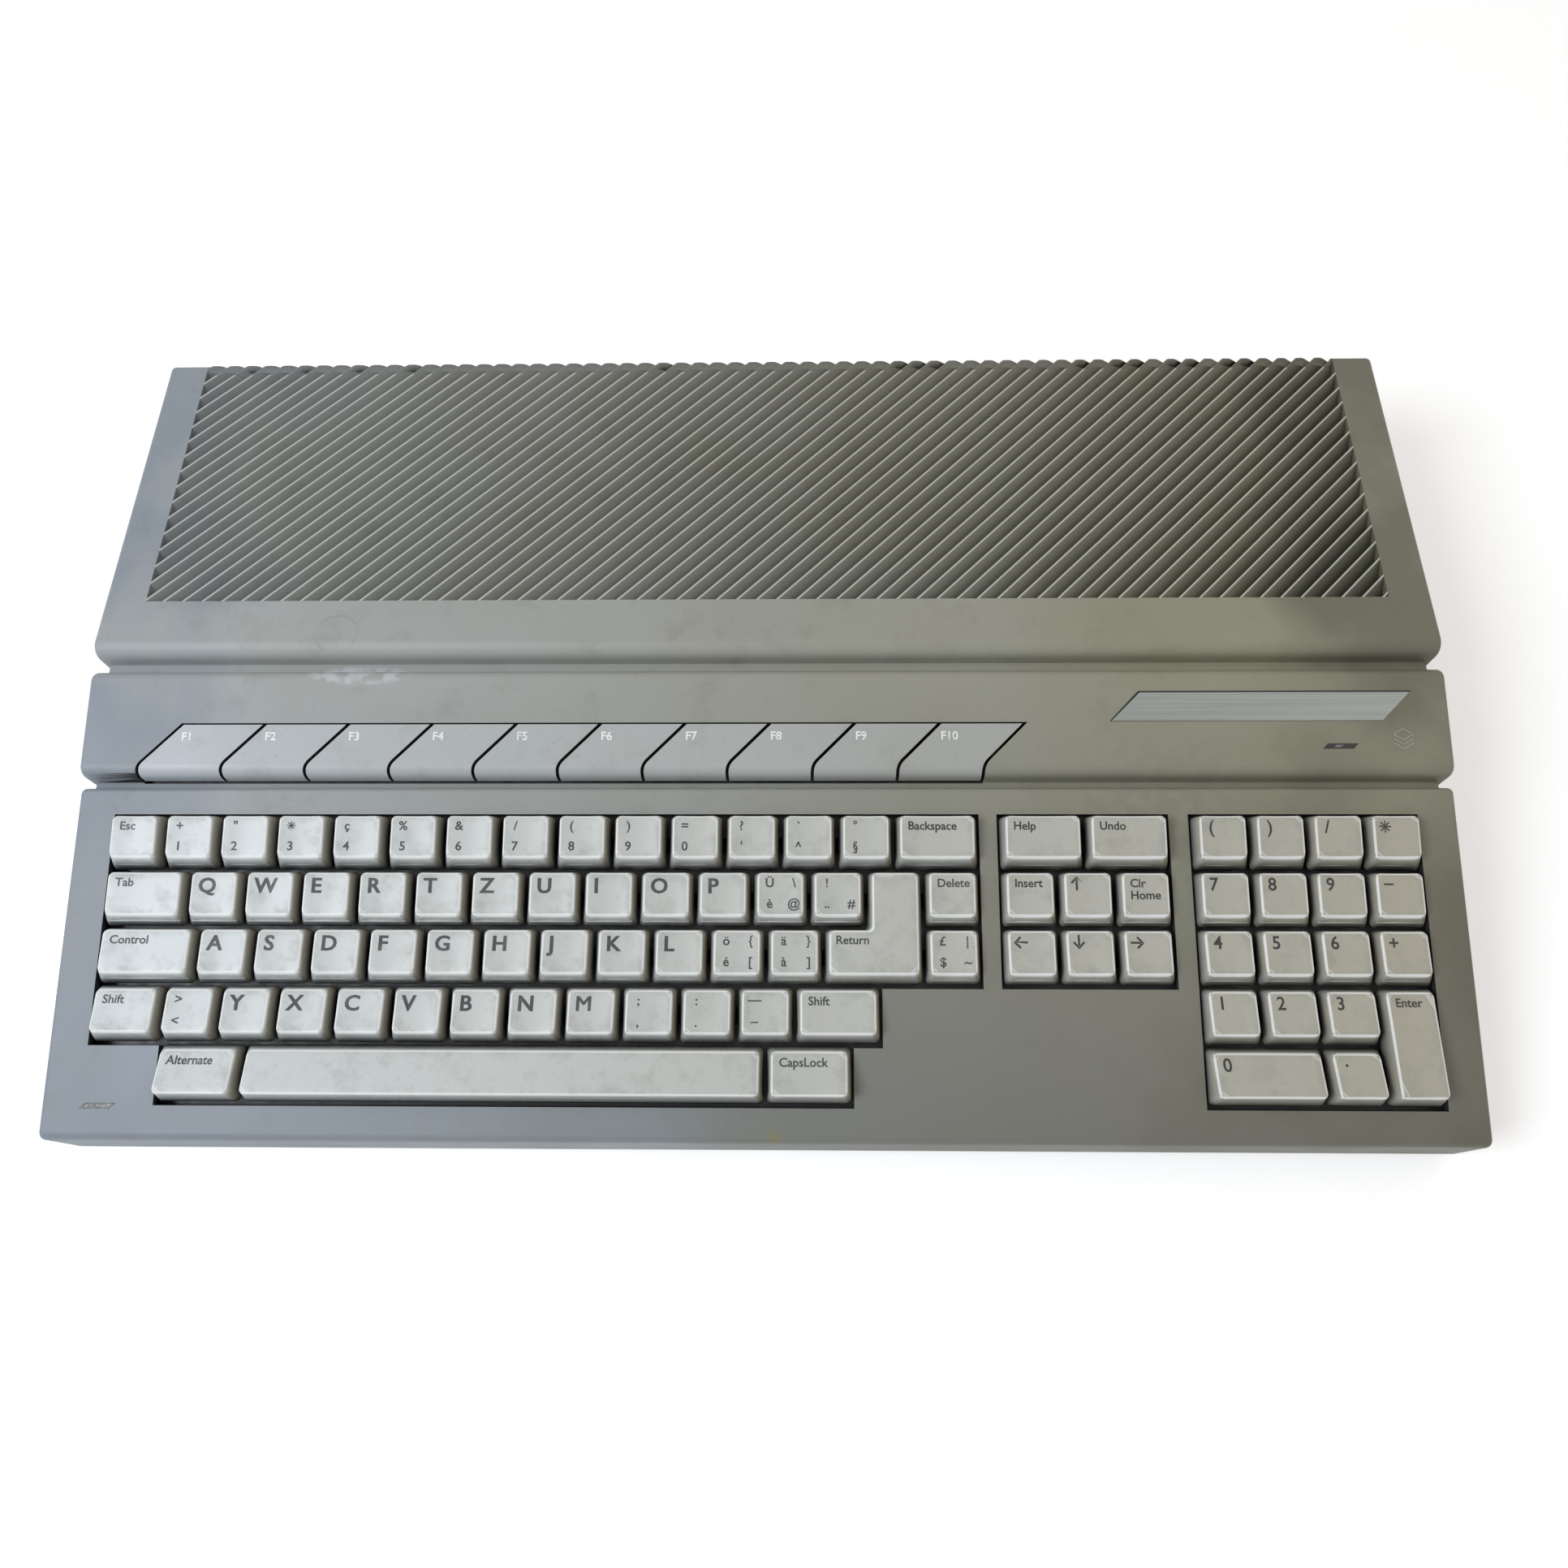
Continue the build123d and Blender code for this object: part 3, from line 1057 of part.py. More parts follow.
def main_board_chips():
    """Processor, support chips and two columns of memory chips at the board's right."""
    chips = [chip(*values) for values in CHIPS]
    for from_right in MEMORY_COLUMNS:
        x = MAIN_BOARD_RIGHT - MAIN_BOARD_LEFT - from_right
        chips += [chip(x, MEMORY_FRONT + MEMORY_PITCH * i, *MEMORY_SIZE) for i in range(MEMORY_COUNT)]
    return chips


def main_shield():
    """The folded tin lid over the main board, open at its front and back edges."""
    left, right = MAIN_BOARD_LEFT + SHIELD_LEFT_GAP, MAIN_BOARD_RIGHT - SHIELD_SETBACK
    front = MAIN_BOARD_FRONT + SHIELD_SETBACK
    back = front + SHIELD_DEPTH
    lid = box(left, right, front, back, MAIN_BOARD_TOP, SHIELD_TOP_Z)
    return lid - box(left + SHIELD_SHEET, right - SHIELD_SHEET, front - THROUGH, back + THROUGH,
                     MAIN_BOARD_TOP - THROUGH, SHIELD_TOP_Z - SHIELD_SHEET)


def power_supply_board():
    """The power supply's board in the rear right corner."""
    gap = SHIELD_SHEET + SUPPLY_BOARD_GAP
    return box(SUPPLY_LEFT + gap, SUPPLY_RIGHT - gap, SUPPLY_FRONT + gap, PANEL_Y - WALL - gap,
               MAIN_BOARD_Z, MAIN_BOARD_TOP)


def transformer(x, y):
    """The mains transformer: an iron core with its winding through it, up to the cover's back."""
    proud, back = WINDING_PROUD, SUPPLY_COVER_BACK - COMPONENT_GAP
    low, high = MAIN_BOARD_TOP, MAIN_BOARD_TOP + COMPONENT_HEIGHT
    core = box(x, x + TRANSFORMER_WIDTH, y, back - proud, low, high)
    step = WINDING_SETBACK
    return core + box(x + step, x + TRANSFORMER_WIDTH - step, y - proud, back, low + step, high - step)


def heat_sink(x, y):
    """A plate with upright fins behind it."""
    top = MAIN_BOARD_TOP + COMPONENT_HEIGHT
    fin, depth = HEAT_SINK_FIN
    sink = box(x, x + HEAT_SINK_LENGTH, y, y + HEAT_SINK_BACK, MAIN_BOARD_TOP, top)
    fin_y = y + HEAT_SINK_BACK
    for i in range(HEAT_SINK_FINS):
        left = x + (HEAT_SINK_LENGTH - fin) * i / (HEAT_SINK_FINS - 1)
        sink += box(left, left + fin, fin_y, fin_y + depth, MAIN_BOARD_TOP, top)
    return sink


def supply_components():
    """Transformer, two reservoir capacitors and a finned heat sink."""
    x0, y0 = SUPPLY_LEFT + SUPPLY_POST_INSET, SUPPLY_FRONT + SUPPLY_POST_INSET
    first = x0 + TRANSFORMER_WIDTH + CAPACITOR_PITCH / 2
    radius, top = CAPACITOR_DIAMETER / 2, MAIN_BOARD_TOP + COMPONENT_HEIGHT
    cans = [faceted(radius, MAIN_BOARD_TOP, top, first + i * CAPACITOR_PITCH, y0 + radius, ROUND_SIDES)
            for i in range(2)]
    sink_x = SUPPLY_RIGHT - SUPPLY_POST_INSET - HEAT_SINK_LENGTH
    return [transformer(x0, y0)] + cans + [heat_sink(sink_x, y0)]


def supply_shield():
    """The vented cover over the power supply, open towards the rear panel."""
    low = MAIN_BOARD_Z - SUPPLY_COVER_LOW
    high = low + SUPPLY_COVER_HEIGHT
    back = SUPPLY_COVER_BACK
    cover = box(SUPPLY_LEFT, SUPPLY_RIGHT, SUPPLY_FRONT, back, low, high)
    cover -= box(SUPPLY_LEFT + SHIELD_SHEET, SUPPLY_RIGHT - SHIELD_SHEET, SUPPLY_FRONT + SHIELD_SHEET,
                 back + THROUGH, low - THROUGH, high - SHIELD_SHEET)
    middle_x, middle_y = (SUPPLY_LEFT + SUPPLY_RIGHT) / 2, (SUPPLY_FRONT + back) / 2
    for i in range(VENT_COUNT):
        x = middle_x + (i - (VENT_COUNT - 1) / 2) * VENT_PITCH
        cover -= Pos(x, middle_y, high) * Box(VENT_WIDTH, VENT_LENGTH, 4 * SHIELD_SHEET)
    return cover


# ---- Disk drive ------------------------------------------------------------------------------

def disk_drive_chassis():
    """The drive's folded frame: two side walls, the plate that the disk hub turns in, a lid."""
    y0, y1 = DRIVE_FRONT_Y, DRIVE_BACK_Y
    frame = box(DRIVE_LEFT, DRIVE_RIGHT, y0, y1, DRIVE_BASE_Z, DRIVE_TOP_Z)
    for low, high in ((DRIVE_BASE_Z + DRIVE_SHEET, DISK_PLATE_Z),
                      (DISK_PLATE_Z + DRIVE_SHEET, DRIVE_TOP_Z - DRIVE_SHEET)):
        frame -= box(DRIVE_LEFT - THROUGH, DRIVE_RIGHT + THROUGH, y0 + DRIVE_SHEET, y1 - DRIVE_SHEET,
                     low, high)
    pin_bore = faceted_bore(SPINDLE_PIN / 2 + SPINDLE_FIT, 2 * DRIVE_SHEET)
    frame -= Pos(SPINDLE_X, DRIVE_MIDDLE_Y, DISK_PLATE_Z) * pin_bore
    cap_room = EJECT_WIDTH / 2 + THROUGH
    frame -= box(BEZEL_RIGHT + EJECT_PROUD - EJECT_CAP - EJECT_ROD - 2 * EJECT_PROUD,
                 DRIVE_RIGHT + THROUGH, EJECT_Y - cap_room, EJECT_Y + cap_room, EJECT_Z + THROUGH / 2,
                 DISK_PLATE_Z + 2 * DRIVE_SHEET)
    hinge_bore = faceted_bore(HINGE_DIAMETER / 2 + HINGE_FIT, DRIVE_WIDTH)
    return frame - Pos(FLAP_X, DRIVE_MIDDLE_Y, FLAP_PIVOT_Z) * Rot(90, 0, 0) * hinge_bore


def drive_spindle():
    """The hub that turns the disk, with its pin through the plate and a flywheel below."""
    hub_z = DISK_PLATE_Z + DRIVE_SHEET + SPINDLE_LIFT
    wheel_z = DISK_PLATE_Z - 2 * FLYWHEEL_THICK
    place = (SPINDLE_X, DRIVE_MIDDLE_Y)
    hub = faceted(SPINDLE_DIAMETER / 2, hub_z, hub_z + SPINDLE_THICK, *place, ROUND_SIDES)
    wheel = faceted(FLYWHEEL_DIAMETER / 2, wheel_z, wheel_z + FLYWHEEL_THICK, *place, ROUND_SIDES)
    pin = upright(SPINDLE_PIN / 2, wheel_z, hub_z + SPINDLE_THICK + SPINDLE_TIP, *place)
    return hub + pin + wheel


def drive_faceplate():
    """The drive's front, set into the case's right wall, with disk slot and button hole."""
    x0, x1 = DRIVE_RIGHT - THROUGH, BEZEL_RIGHT + THROUGH
    plate = box(DRIVE_RIGHT, BEZEL_RIGHT, DRIVE_FRONT_Y + BEZEL_INSET, DRIVE_BACK_Y - BEZEL_INSET,
                DRIVE_BASE_Z + BEZEL_INSET, DRIVE_TOP_Z - BEZEL_INSET)
    slot = Pos(BEZEL_RIGHT, DRIVE_MIDDLE_Y, DISK_SLOT_Z)
    plate -= slot * Box(4 * BEZEL_THICK, DISK_SLOT_WIDTH, DISK_SLOT_HEIGHT)
    plate -= slot * Box(2 * GRIP_DEPTH, GRIP_WIDTH, DISK_SLOT_HEIGHT + 2 * GRIP_RISE)
    half_w, half_h = EJECT_WIDTH / 2 + EJECT_CLEAR, EJECT_HEIGHT / 2 + EJECT_CLEAR
    return plate - box(x0, x1, EJECT_Y - half_w, EJECT_Y + half_w, EJECT_Z - half_h, EJECT_Z + half_h)


def disk_shutter():
    """The sprung flap behind the slot, on its own hinge bar."""
    half = DISK_SLOT_WIDTH / 2 + FLAP_OVERLAP
    low = DISK_SLOT_Z - DISK_SLOT_HEIGHT / 2 - FLAP_OVERLAP / 3
    flap = box(FLAP_X - FLAP_THICK / 2, FLAP_X + FLAP_THICK / 2, DRIVE_MIDDLE_Y - half,
               DRIVE_MIDDLE_Y + half, low, FLAP_PIVOT_Z)
    end = DRIVE_WIDTH / 2 - DRIVE_SIDE_GAP
    bar = along_y(HINGE_DIAMETER / 2, DRIVE_MIDDLE_Y - end, DRIVE_MIDDLE_Y + end, FLAP_X, FLAP_PIVOT_Z)
    return flap + bar


def disk_eject_button():
    """The button that pushes the disk out, with its rod running into the drive."""
    right = BEZEL_RIGHT + EJECT_PROUD
    left = right - EJECT_CAP
    half = EJECT_ROD_WIDTH / 2
    cap = box(left, right, EJECT_Y - EJECT_WIDTH / 2, EJECT_Y + EJECT_WIDTH / 2,
              EJECT_Z - EJECT_HEIGHT / 2, EJECT_Z + EJECT_HEIGHT / 2)
    cap = chamfer(cap.faces().sort_by(Axis.X)[-1].edges(), 2 * EJECT_CLEAR)
    return cap + box(left - EJECT_ROD, left, EJECT_Y - half, EJECT_Y + half, EJECT_Z - half, EJECT_Z)


# ---- Connectors and controls -----------------------------------------------------------------

def d_socket(width, has_pins):
    """A D-shaped connector that faces back; one with pins is hollow, the other has a core."""
    flange = Box(width, D_FLANGE_THICK, D_FLANGE_HEIGHT)
    shell_w = width - D_SHELL_MARGIN
    wall = 2 * D_SHELL_WALL
    shell = Pos(0, D_SHELL_REACH / 2, 0) * d_outline(shell_w, D_SHELL_HEIGHT, D_SHELL_REACH / 2)
    if has_pins:
        hollow = d_outline(shell_w - wall, D_SHELL_HEIGHT - wall, D_SHELL_REACH / 2)
        shell -= Pos(0, D_SHELL_REACH / 2 + D_FLANGE_THICK, 0) * hollow
    body = box(-(width - D_BODY_MARGIN) / 2, (width - D_BODY_MARGIN) / 2, -D_BODY_DEPTH, 0,
               (D_FLANGE_THICK - D_FLANGE_HEIGHT) / 2, (D_FLANGE_HEIGHT - D_FLANGE_THICK) / 2)
    return flange + shell + body


def rear_d_sockets():
    """Serial, printer and hard disk connectors."""
    y = PANEL_Y - WALL - D_FLANGE_THICK / 2
    return [Pos(x, y, CONNECTOR_Z) * d_socket(width, has_pins) for x, width, has_pins in
            ((SERIAL_X, D_25_WIDTH, True), (PRINTER_X, D_25_WIDTH, False),
             (HARD_DISK_X, D_19_WIDTH, False))]


def controller_sockets():
    """Two nine-pin connectors for mouse and joysticks, in the recess under the right side."""
    step = Pos(0, -RECESS_WALL - D_FLANGE_THICK / 2, 0)
    return [controller_place(y) * step * d_socket(D_9_WIDTH, True) for y in CONTROLLER_Y]


def din_socket():
    """A round multi-pin socket in a square body that faces along +Y."""
    radius = DIN_DIAMETER / 2
    body = box(-DIN_BODY / 2, DIN_BODY / 2, -DIN_BODY_DEPTH, 0, -DIN_BODY / 2, DIN_BODY / 2)
    well = faceted_socket(radius - DIN_RING, -DIN_WELL, WALL + THROUGH)
    core = faceted_socket(radius - 2 * DIN_RING, -DIN_WELL, 0)
    return body + faceted_socket(radius, 0, WALL) - well + core


def din_sockets():
    """Two DIN sockets at the rear and two on the left side."""
    rear = [Pos(x, PANEL_Y - WALL, DIN_Z) * din_socket() for x in (FLOPPY_DIN_X, MONITOR_DIN_X)]
    side = [Pos(-HALF_W + WALL, y, DIN_Z) * Rot(0, 0, 90) * din_socket()
            for y in (MIDI_IN_Y, MIDI_OUT_Y)]
    return rear + side


def cartridge_connector():
    """The edge connector behind the cartridge slot, its mouth facing left."""
    x0 = -HALF_W + WALL + CARTRIDGE_GAP
    half = CARTRIDGE_LENGTH / 2
    block = box(x0, x0 + CARTRIDGE_DEPTH, CARTRIDGE_Y - half, CARTRIDGE_Y + half, MAIN_BOARD_TOP,
                MAIN_BOARD_TOP + CARTRIDGE_HEIGHT)
    length, depth, height = CARTRIDGE_MOUTH
    mouth = Pos(x0, CARTRIDGE_Y, MAIN_BOARD_TOP + CARTRIDGE_HEIGHT / 2) * Box(2 * depth, length, height)
    return block - mouth


def power_inlet():
    """A three-pin appliance inlet: a deep well in a body on the panel, with three flat pins."""
    middle = INLET_PROUD - INLET_DEPTH / 2
    body = Pos(0, middle, 0) * clipped_slot(INLET_BODY_W, INLET_BODY_H, INLET_WALL, INLET_DEPTH / 2)
    well = clipped_slot(INLET_BODY_W - 2 * INLET_WALL, INLET_BODY_H - 2 * INLET_WALL, INLET_WALL / 2,
                        INLET_DEPTH / 2)
    inlet = body - Pos(0, middle + INLET_BACK, 0) * well
    pin_w, pin_h = INLET_PIN
    for x, z in INLET_PIN_PLACES:
        inlet += Pos(x, middle, z) * Box(pin_w, INLET_DEPTH - INLET_BACK, pin_h)
    return Pos(INLET_X, PANEL_Y, REAR_HIGH_Z) * inlet


def power_switch_housing():
    """The frame of the power switch, snapped into the rear panel."""
    width, height = ROCKER_WIDTH, ROCKER_LENGTH
    frame = clipped_slot(width + 2 * SWITCH_FRAME, height + 2 * SWITCH_FRAME, PORT_CLEAR,
                         SWITCH_BODY_DEPTH / 2)
    frame = Pos(0, SWITCH_PROUD - SWITCH_BODY_DEPTH / 2, 0) * frame
    half_w, half_h = width / 2 + SWITCH_CLEAR, height / 2 + SWITCH_CLEAR
    room = box(-half_w, half_w, -SWITCH_ROOM, SWITCH_PROUD + THROUGH, -half_h, half_h)
    reach = half_w + THROUGH
    holes = Pos(0, ROCKER_PIVOT, 0) * Rot(0, 90, 0) * faceted_bore(HINGE_DIAMETER / 2 + HINGE_FIT, reach)
    return Pos(SWITCH_X, PANEL_Y, REAR_HIGH_Z) * (frame - room - holes)


def power_switch_rocker():
    """The rocker, its face broken at the middle so that one half always stands out."""
    half = ROCKER_LENGTH / 2
    end_y = ROCKER_PROUD - half * tan(radians(ROCKER_TILT))
    foot = half - INLET_WALL
    side = section([(-ROCKER_DEPTH, -foot), (end_y, -half), (ROCKER_PROUD, 0), (end_y, half),
                    (-ROCKER_DEPTH, foot)], ROCKER_WIDTH / 2)
    reach = ROCKER_WIDTH / 2 + SWITCH_CLEAR + THROUGH - DRIVE_SIDE_GAP
    pins = along_x(HINGE_DIAMETER / 2, -reach, reach, ROCKER_PIVOT, 0)
    place = Pos(SWITCH_X, PANEL_Y + ROCKER_PIVOT, REAR_HIGH_Z)
    return place * Rot(ROCKER_TILT, 0, 0) * Pos(0, -ROCKER_PIVOT, 0) * (side + pins)


def reset_button():
    """A small square push button on a longer shaft."""
    cap = clipped_slot(RESET_SIZE, RESET_SIZE, PORT_CLEAR, RESET_SIZE / 2)
    return Pos(RESET_X, PANEL_Y + RESET_PROUD - RESET_SIZE / 2, REAR_HIGH_Z) * cap


def lamp_lenses():
    """Power lamp in the deck and disk lamp in the band."""
    lenses = []
    for place, top in ((POWER_LAMP, -LAMP_SINK), (DRIVE_LAMP, BAND_Z - LAMP_SINK)):
        lens = slanted(LAMP_LENGTH - LAMP_FIT, LAMP_HEIGHT - LAMP_FIT, *place, top - LAMP_DEPTH, top)
        lenses.append(DECK * lens)
    return lenses


def name_plate():
    """The bare metal plate let into the band."""
    base = BAND_Z - PLATE_SINK
    return DECK * slanted(PLATE_LENGTH - PLATE_FIT, PLATE_HEIGHT - PLATE_FIT, *PLATE, base,
                          base + PLATE_THICK)


# ---- Small parts -----------------------------------------------------------------------------

def rubber_feet():
    """Four round feet glued under the tray."""
    feet = []
    for x, y in FOOT_PLACES:
        pad = faceted(FOOT_DIAMETER / 2, 0, FOOT_H, x, y, 2 * POST_SIDES)
        feet.append(chamfer(pad.faces().sort_by(Axis.Z)[0].edges(), FOOT_CHAMFER))
    return feet


def case_screws():
    """Pan-head screws that hold the two shells together from below."""
    screws = []
    for x, y in SCREW_PLACES:
        z = FOOT_H + SCREW_SEAT
        head = faceted(SCREW_HEAD / 2, z, z + SCREW_HEAD_H, x, y)
        shank = faceted(SCREW_DIAMETER / 2, z, z + SCREW_HEAD_H + SCREW_LENGTH, x, y)
        screws.append(head + shank)
    return screws


def internal_leads():
    """Keyboard lead and drive ribbon, each folded down to the main board."""
    half = LEAD_WIDTH / 2
    x0, z0 = MAIN_BOARD_RIGHT - LEAD_FROM_EDGE, DRIVE_BASE_Z + 2 * DRIVE_SHEET
    low_y, high_y = DRIVE_MIDDLE_Y - half, DRIVE_MIDDLE_Y + half
    drive_lead = box(x0, DRIVE_LEFT + LEAD_PLUG, low_y, high_y, z0, z0 + LEAD_THICK)
    drive_lead += box(x0, x0 + LEAD_THICK, low_y, high_y, MAIN_BOARD_TOP, z0)
    back = FUNCTION_BACK_Y + EXTENSION_BACK_MARGIN
    flat = box(LEAD_X - half, LEAD_X + half, back - LEAD_PLUG, back + 4 * LEAD_PLUG,
               KEY_BOARD_BASE_Z - LEAD_THICK, KEY_BOARD_BASE_Z)
    y0 = MAIN_BOARD_FRONT + LEAD_FROM_EDGE - LEAD_THICK
    cover = box(LEAD_X - half, LEAD_X + half, 0, y0 + LEAD_THICK, MAIN_BOARD_TOP, REAR_TOP_Z)
    flat = (DECK * flat) & cover
    top_z = flat.bounding_box().max.Z - LEAD_THICK / 2
    drop = box(LEAD_X - half, LEAD_X + half, y0, y0 + LEAD_THICK, MAIN_BOARD_TOP, top_z)
    return [drive_lead, flat + drop]


# ---- Writing ---------------------------------------------------------------------------------

def write(name, shape):
    """Writes one node, moved so that the origin lies under the middle of the case."""
    solids = shape if isinstance(shape, list) else [shape]
    placed = [Pos(0, -DEPTH / 2, 0) * solid for solid in solids]
    whole = Compound(children=[s for item in placed for s in item.solids()])
    export_step(whole, os.path.join("parts", name + ".step"))
    print(f"{name}: {len(whole.solids())} solids")


def main():
    os.makedirs("parts", exist_ok=True)
    deck, band, rear = deck_block(), band_block(), rear_block()
    write("top_case", top_case(deck, band, rear))
    write("bottom_case", bottom_case())
    write("rubber_feet", rubber_feet())
    write("case_screws", case_screws())
    write("keyboard_frame", keyboard_frame())
    write("dome_mat", dome_mat())
    write("keyboard_circuit_board", keyboard_circuit_board())
    for name, places in KEY_GROUPS.items():
        write(name, key_group(places))
    write("return_key", DECK * return_keycap())
    for i in range(FUNCTION_KEY_COUNT):
        write(f"function_key_{i + 1}", function_key(i, band))
    write("main_circuit_board", main_circuit_board())
    write("main_board_chips", main_board_chips())
    write("main_shield", main_shield())
    write("power_supply_board", power_supply_board())
    write("supply_components", supply_components())
    write("supply_shield", supply_shield())
    write("disk_drive_chassis", disk_drive_chassis())
    write("drive_spindle", drive_spindle())
    write("drive_faceplate", drive_faceplate())
    write("disk_shutter", disk_shutter())
    write("disk_eject_button", disk_eject_button())
    write("rear_d_sockets", rear_d_sockets())
    write("controller_sockets", controller_sockets())
    write("din_sockets", din_sockets())
    write("cartridge_connector", cartridge_connector())
    write("power_inlet", power_inlet())
    write("power_switch_housing", power_switch_housing())
    write("power_switch_rocker", power_switch_rocker())
    write("reset_button", reset_button())
    write("lamp_lenses", lamp_lenses())
    write("name_plate", name_plate())
    write("internal_leads", internal_leads())


main()
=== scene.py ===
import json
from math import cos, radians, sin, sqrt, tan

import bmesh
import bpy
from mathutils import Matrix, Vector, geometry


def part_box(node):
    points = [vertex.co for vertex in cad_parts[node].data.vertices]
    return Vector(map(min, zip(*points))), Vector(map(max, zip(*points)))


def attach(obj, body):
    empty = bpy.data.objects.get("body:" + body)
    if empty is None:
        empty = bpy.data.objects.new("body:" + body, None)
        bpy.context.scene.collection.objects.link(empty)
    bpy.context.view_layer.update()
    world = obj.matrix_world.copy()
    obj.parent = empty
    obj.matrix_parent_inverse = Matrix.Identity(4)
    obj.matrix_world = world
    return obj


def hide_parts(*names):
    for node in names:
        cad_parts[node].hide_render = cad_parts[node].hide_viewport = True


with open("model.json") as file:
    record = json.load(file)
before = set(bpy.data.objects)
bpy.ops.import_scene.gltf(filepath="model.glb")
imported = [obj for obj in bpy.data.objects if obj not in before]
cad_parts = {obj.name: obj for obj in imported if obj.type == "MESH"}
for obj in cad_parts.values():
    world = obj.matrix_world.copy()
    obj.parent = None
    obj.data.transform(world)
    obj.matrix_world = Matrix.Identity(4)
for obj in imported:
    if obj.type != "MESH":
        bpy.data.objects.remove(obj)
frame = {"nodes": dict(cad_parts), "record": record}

# %% [markdown]
# # Dressing a home computer of the eighties
# The CAD model comes in as a fixed frame: every node is in metres, stands at the origin and already
# rides on its body. This file gives each node its finish, and puts finer pieces in front of the plain
# ones where the eye goes first, above all the keys. Nothing that is added here may grow out of it.

MM = 0.001
scene = bpy.context.scene
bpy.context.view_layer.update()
nodes = frame["nodes"]
body_of = {node: body for body, members in frame["record"]["behaviour"]["bodies"].items()
           for node in members}


def new_object(name, data):
    """An object of the scene that shows the data."""
    made = bpy.data.objects.new(name, data)
    scene.collection.objects.link(made)
    return made


# %% [markdown]
# ## The camera
# A wide lens close above the front edge makes the deck look large and lets the back of the case run
# together. Three angles and a place say the same as a look-at helper, with no constraint left behind.

# %% Camera
CAMERA_PLACE = Vector((15.9, -183.2, 407.45)) * MM
CAMERA_TURN = (radians(23.276), radians(1.025), radians(0.406))
LENS, SENSOR = 26.09, 36
camera_data = bpy.data.cameras.new("camera")
camera_data.lens = LENS
camera_data.sensor_width = SENSOR
camera_data.clip_start = 10 * MM
camera = new_object("camera", camera_data)
camera.location = CAMERA_PLACE
camera.rotation_euler = CAMERA_TURN
scene.camera = camera
scene.view_settings.view_transform = "Standard"
print("camera", tuple(round(v, 3) for v in camera.location))

# %% [markdown]
# ## Colour and nodes
# Colours are written as the hex values that a screen shows, and one function turns them to the linear
# values that Blender works in. One more function adds a node, sets what is given as a name and links
# or fills its sockets, so that each material reads as a list of what it is made from. Where a whole node
# is given for a socket, its first output is meant.

# %% Helpers for materials
# The four kinds of node that are needed most.
MATH, MIX, MAP_RANGE, NOISE = "ShaderNodeMath", "ShaderNodeMix", "ShaderNodeMapRange", "ShaderNodeTexNoise"


def colour(hex_value):
    """A screen's hex colour as Blender's linear RGBA, fully opaque."""
    channels = [int(hex_value[i:i + 2], 16) / 255 for i in (1, 3, 5)]
    linear = [c / 12.92 if c <= 0.04045 else ((c + 0.055) / 1.055) ** 2.4 for c in channels]
    return (*linear, 1.0)


def add_node(tree, kind, sockets=None, **settings):
    """Adds a node, applies its settings, and fills or links its input sockets."""
    node = tree.nodes.new(kind)
    for name, value in settings.items():
        setattr(node, name, value)
    for place, value in (sockets or {}).items():
        if isinstance(value, bpy.types.Node):
            value = value.outputs[0]
        if isinstance(value, bpy.types.NodeSocket):
            tree.links.new(value, node.inputs[place])
        else:
            node.inputs[place].default_value = value
    return node


def start_material(name, **shader_values):
    """A material with its shader, ready for the nodes that feed it."""
    material = bpy.data.materials.new(name)
    material.use_nodes = True
    tree = material.node_tree
    shader = tree.nodes["Principled BSDF"]
    for socket, value in shader_values.items():
        shader.inputs[socket.replace("_", " ")].default_value = value
    return material, tree, shader


def scale_for(size_mm):
    """The scale that makes a pattern's features about this many millimetres."""
    return 1 / (size_mm * MM)


print("hex #808080 is", round(colour("#808080")[0], 4), "in linear light")

# %% [markdown]
# ## Moulded case plastic
# The case is ABS from a spark-eroded mould, which leaves a matt skin with a fine grain. Decades of light
# and hands have left it uneven: cooler on one side, yellower on the other, with broad cloudy stains,
# small dark smudges and dust that sits deep between the ribs. Painted light comes on top of that: the
# drift across the case also darkens towards the right as a painted fall-off of the lamp's light, and a
# painted shadow darkens the front. Large noise moves the colour, small noise moves the height, and a mask
# on the rib field darkens with depth, as dust and painted shade, and pales on the ridges as a painted
# highlight. The real grain is nearer 0.2 mm, and it is drawn at 0.5 mm because it would be lost otherwise.

# %% Sizes of the case that the finishes need
case_low, case_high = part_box("top_case")
HALF_WIDTH = case_high.x
FRONT_Y, BACK_Y, TOP_Z = case_low.y, case_high.y, case_high.z
# The rib field begins this far from the front and keeps this much from the sides.
RIB_FRONT_Y = FRONT_Y + 180.4 * MM
RIB_HALF_WIDTH = HALF_WIDTH - 15.2 * MM
RIB_DEPTH = 3.4 * MM
# A painted shadow darkens the front of the case: its dark front shades give way to the lighter rear
# ones between these two lines.
SHADOW_FULL_Y, SHADOW_GONE_Y = FRONT_Y + 5 * MM, FRONT_Y + 160 * MM
# Sizes of the patterns, in millimetres.
CLOUD, SMUDGE, TEAR, SPECK, GRAIN = 60, 14, 5, 1.6, 0.5
print("case", round(2 * HALF_WIDTH / MM, 1), "wide,", round((BACK_Y - FRONT_Y) / MM, 1), "deep")


# %% Case plastic
def shade_ramp(tree, factor, shades):
    """A ramp of colours, each given as its place from 0 to 1 and its hex value."""
    ramp = add_node(tree, "ShaderNodeValToRGB", {0: factor})
    ramp.color_ramp.elements[0].color = colour(shades[0][1])
    ramp.color_ramp.elements[1].color = colour(shades[-1][1])
    for position, shade in shades[1:-1]:
        ramp.color_ramp.elements.new(position).color = colour(shade)
    return ramp


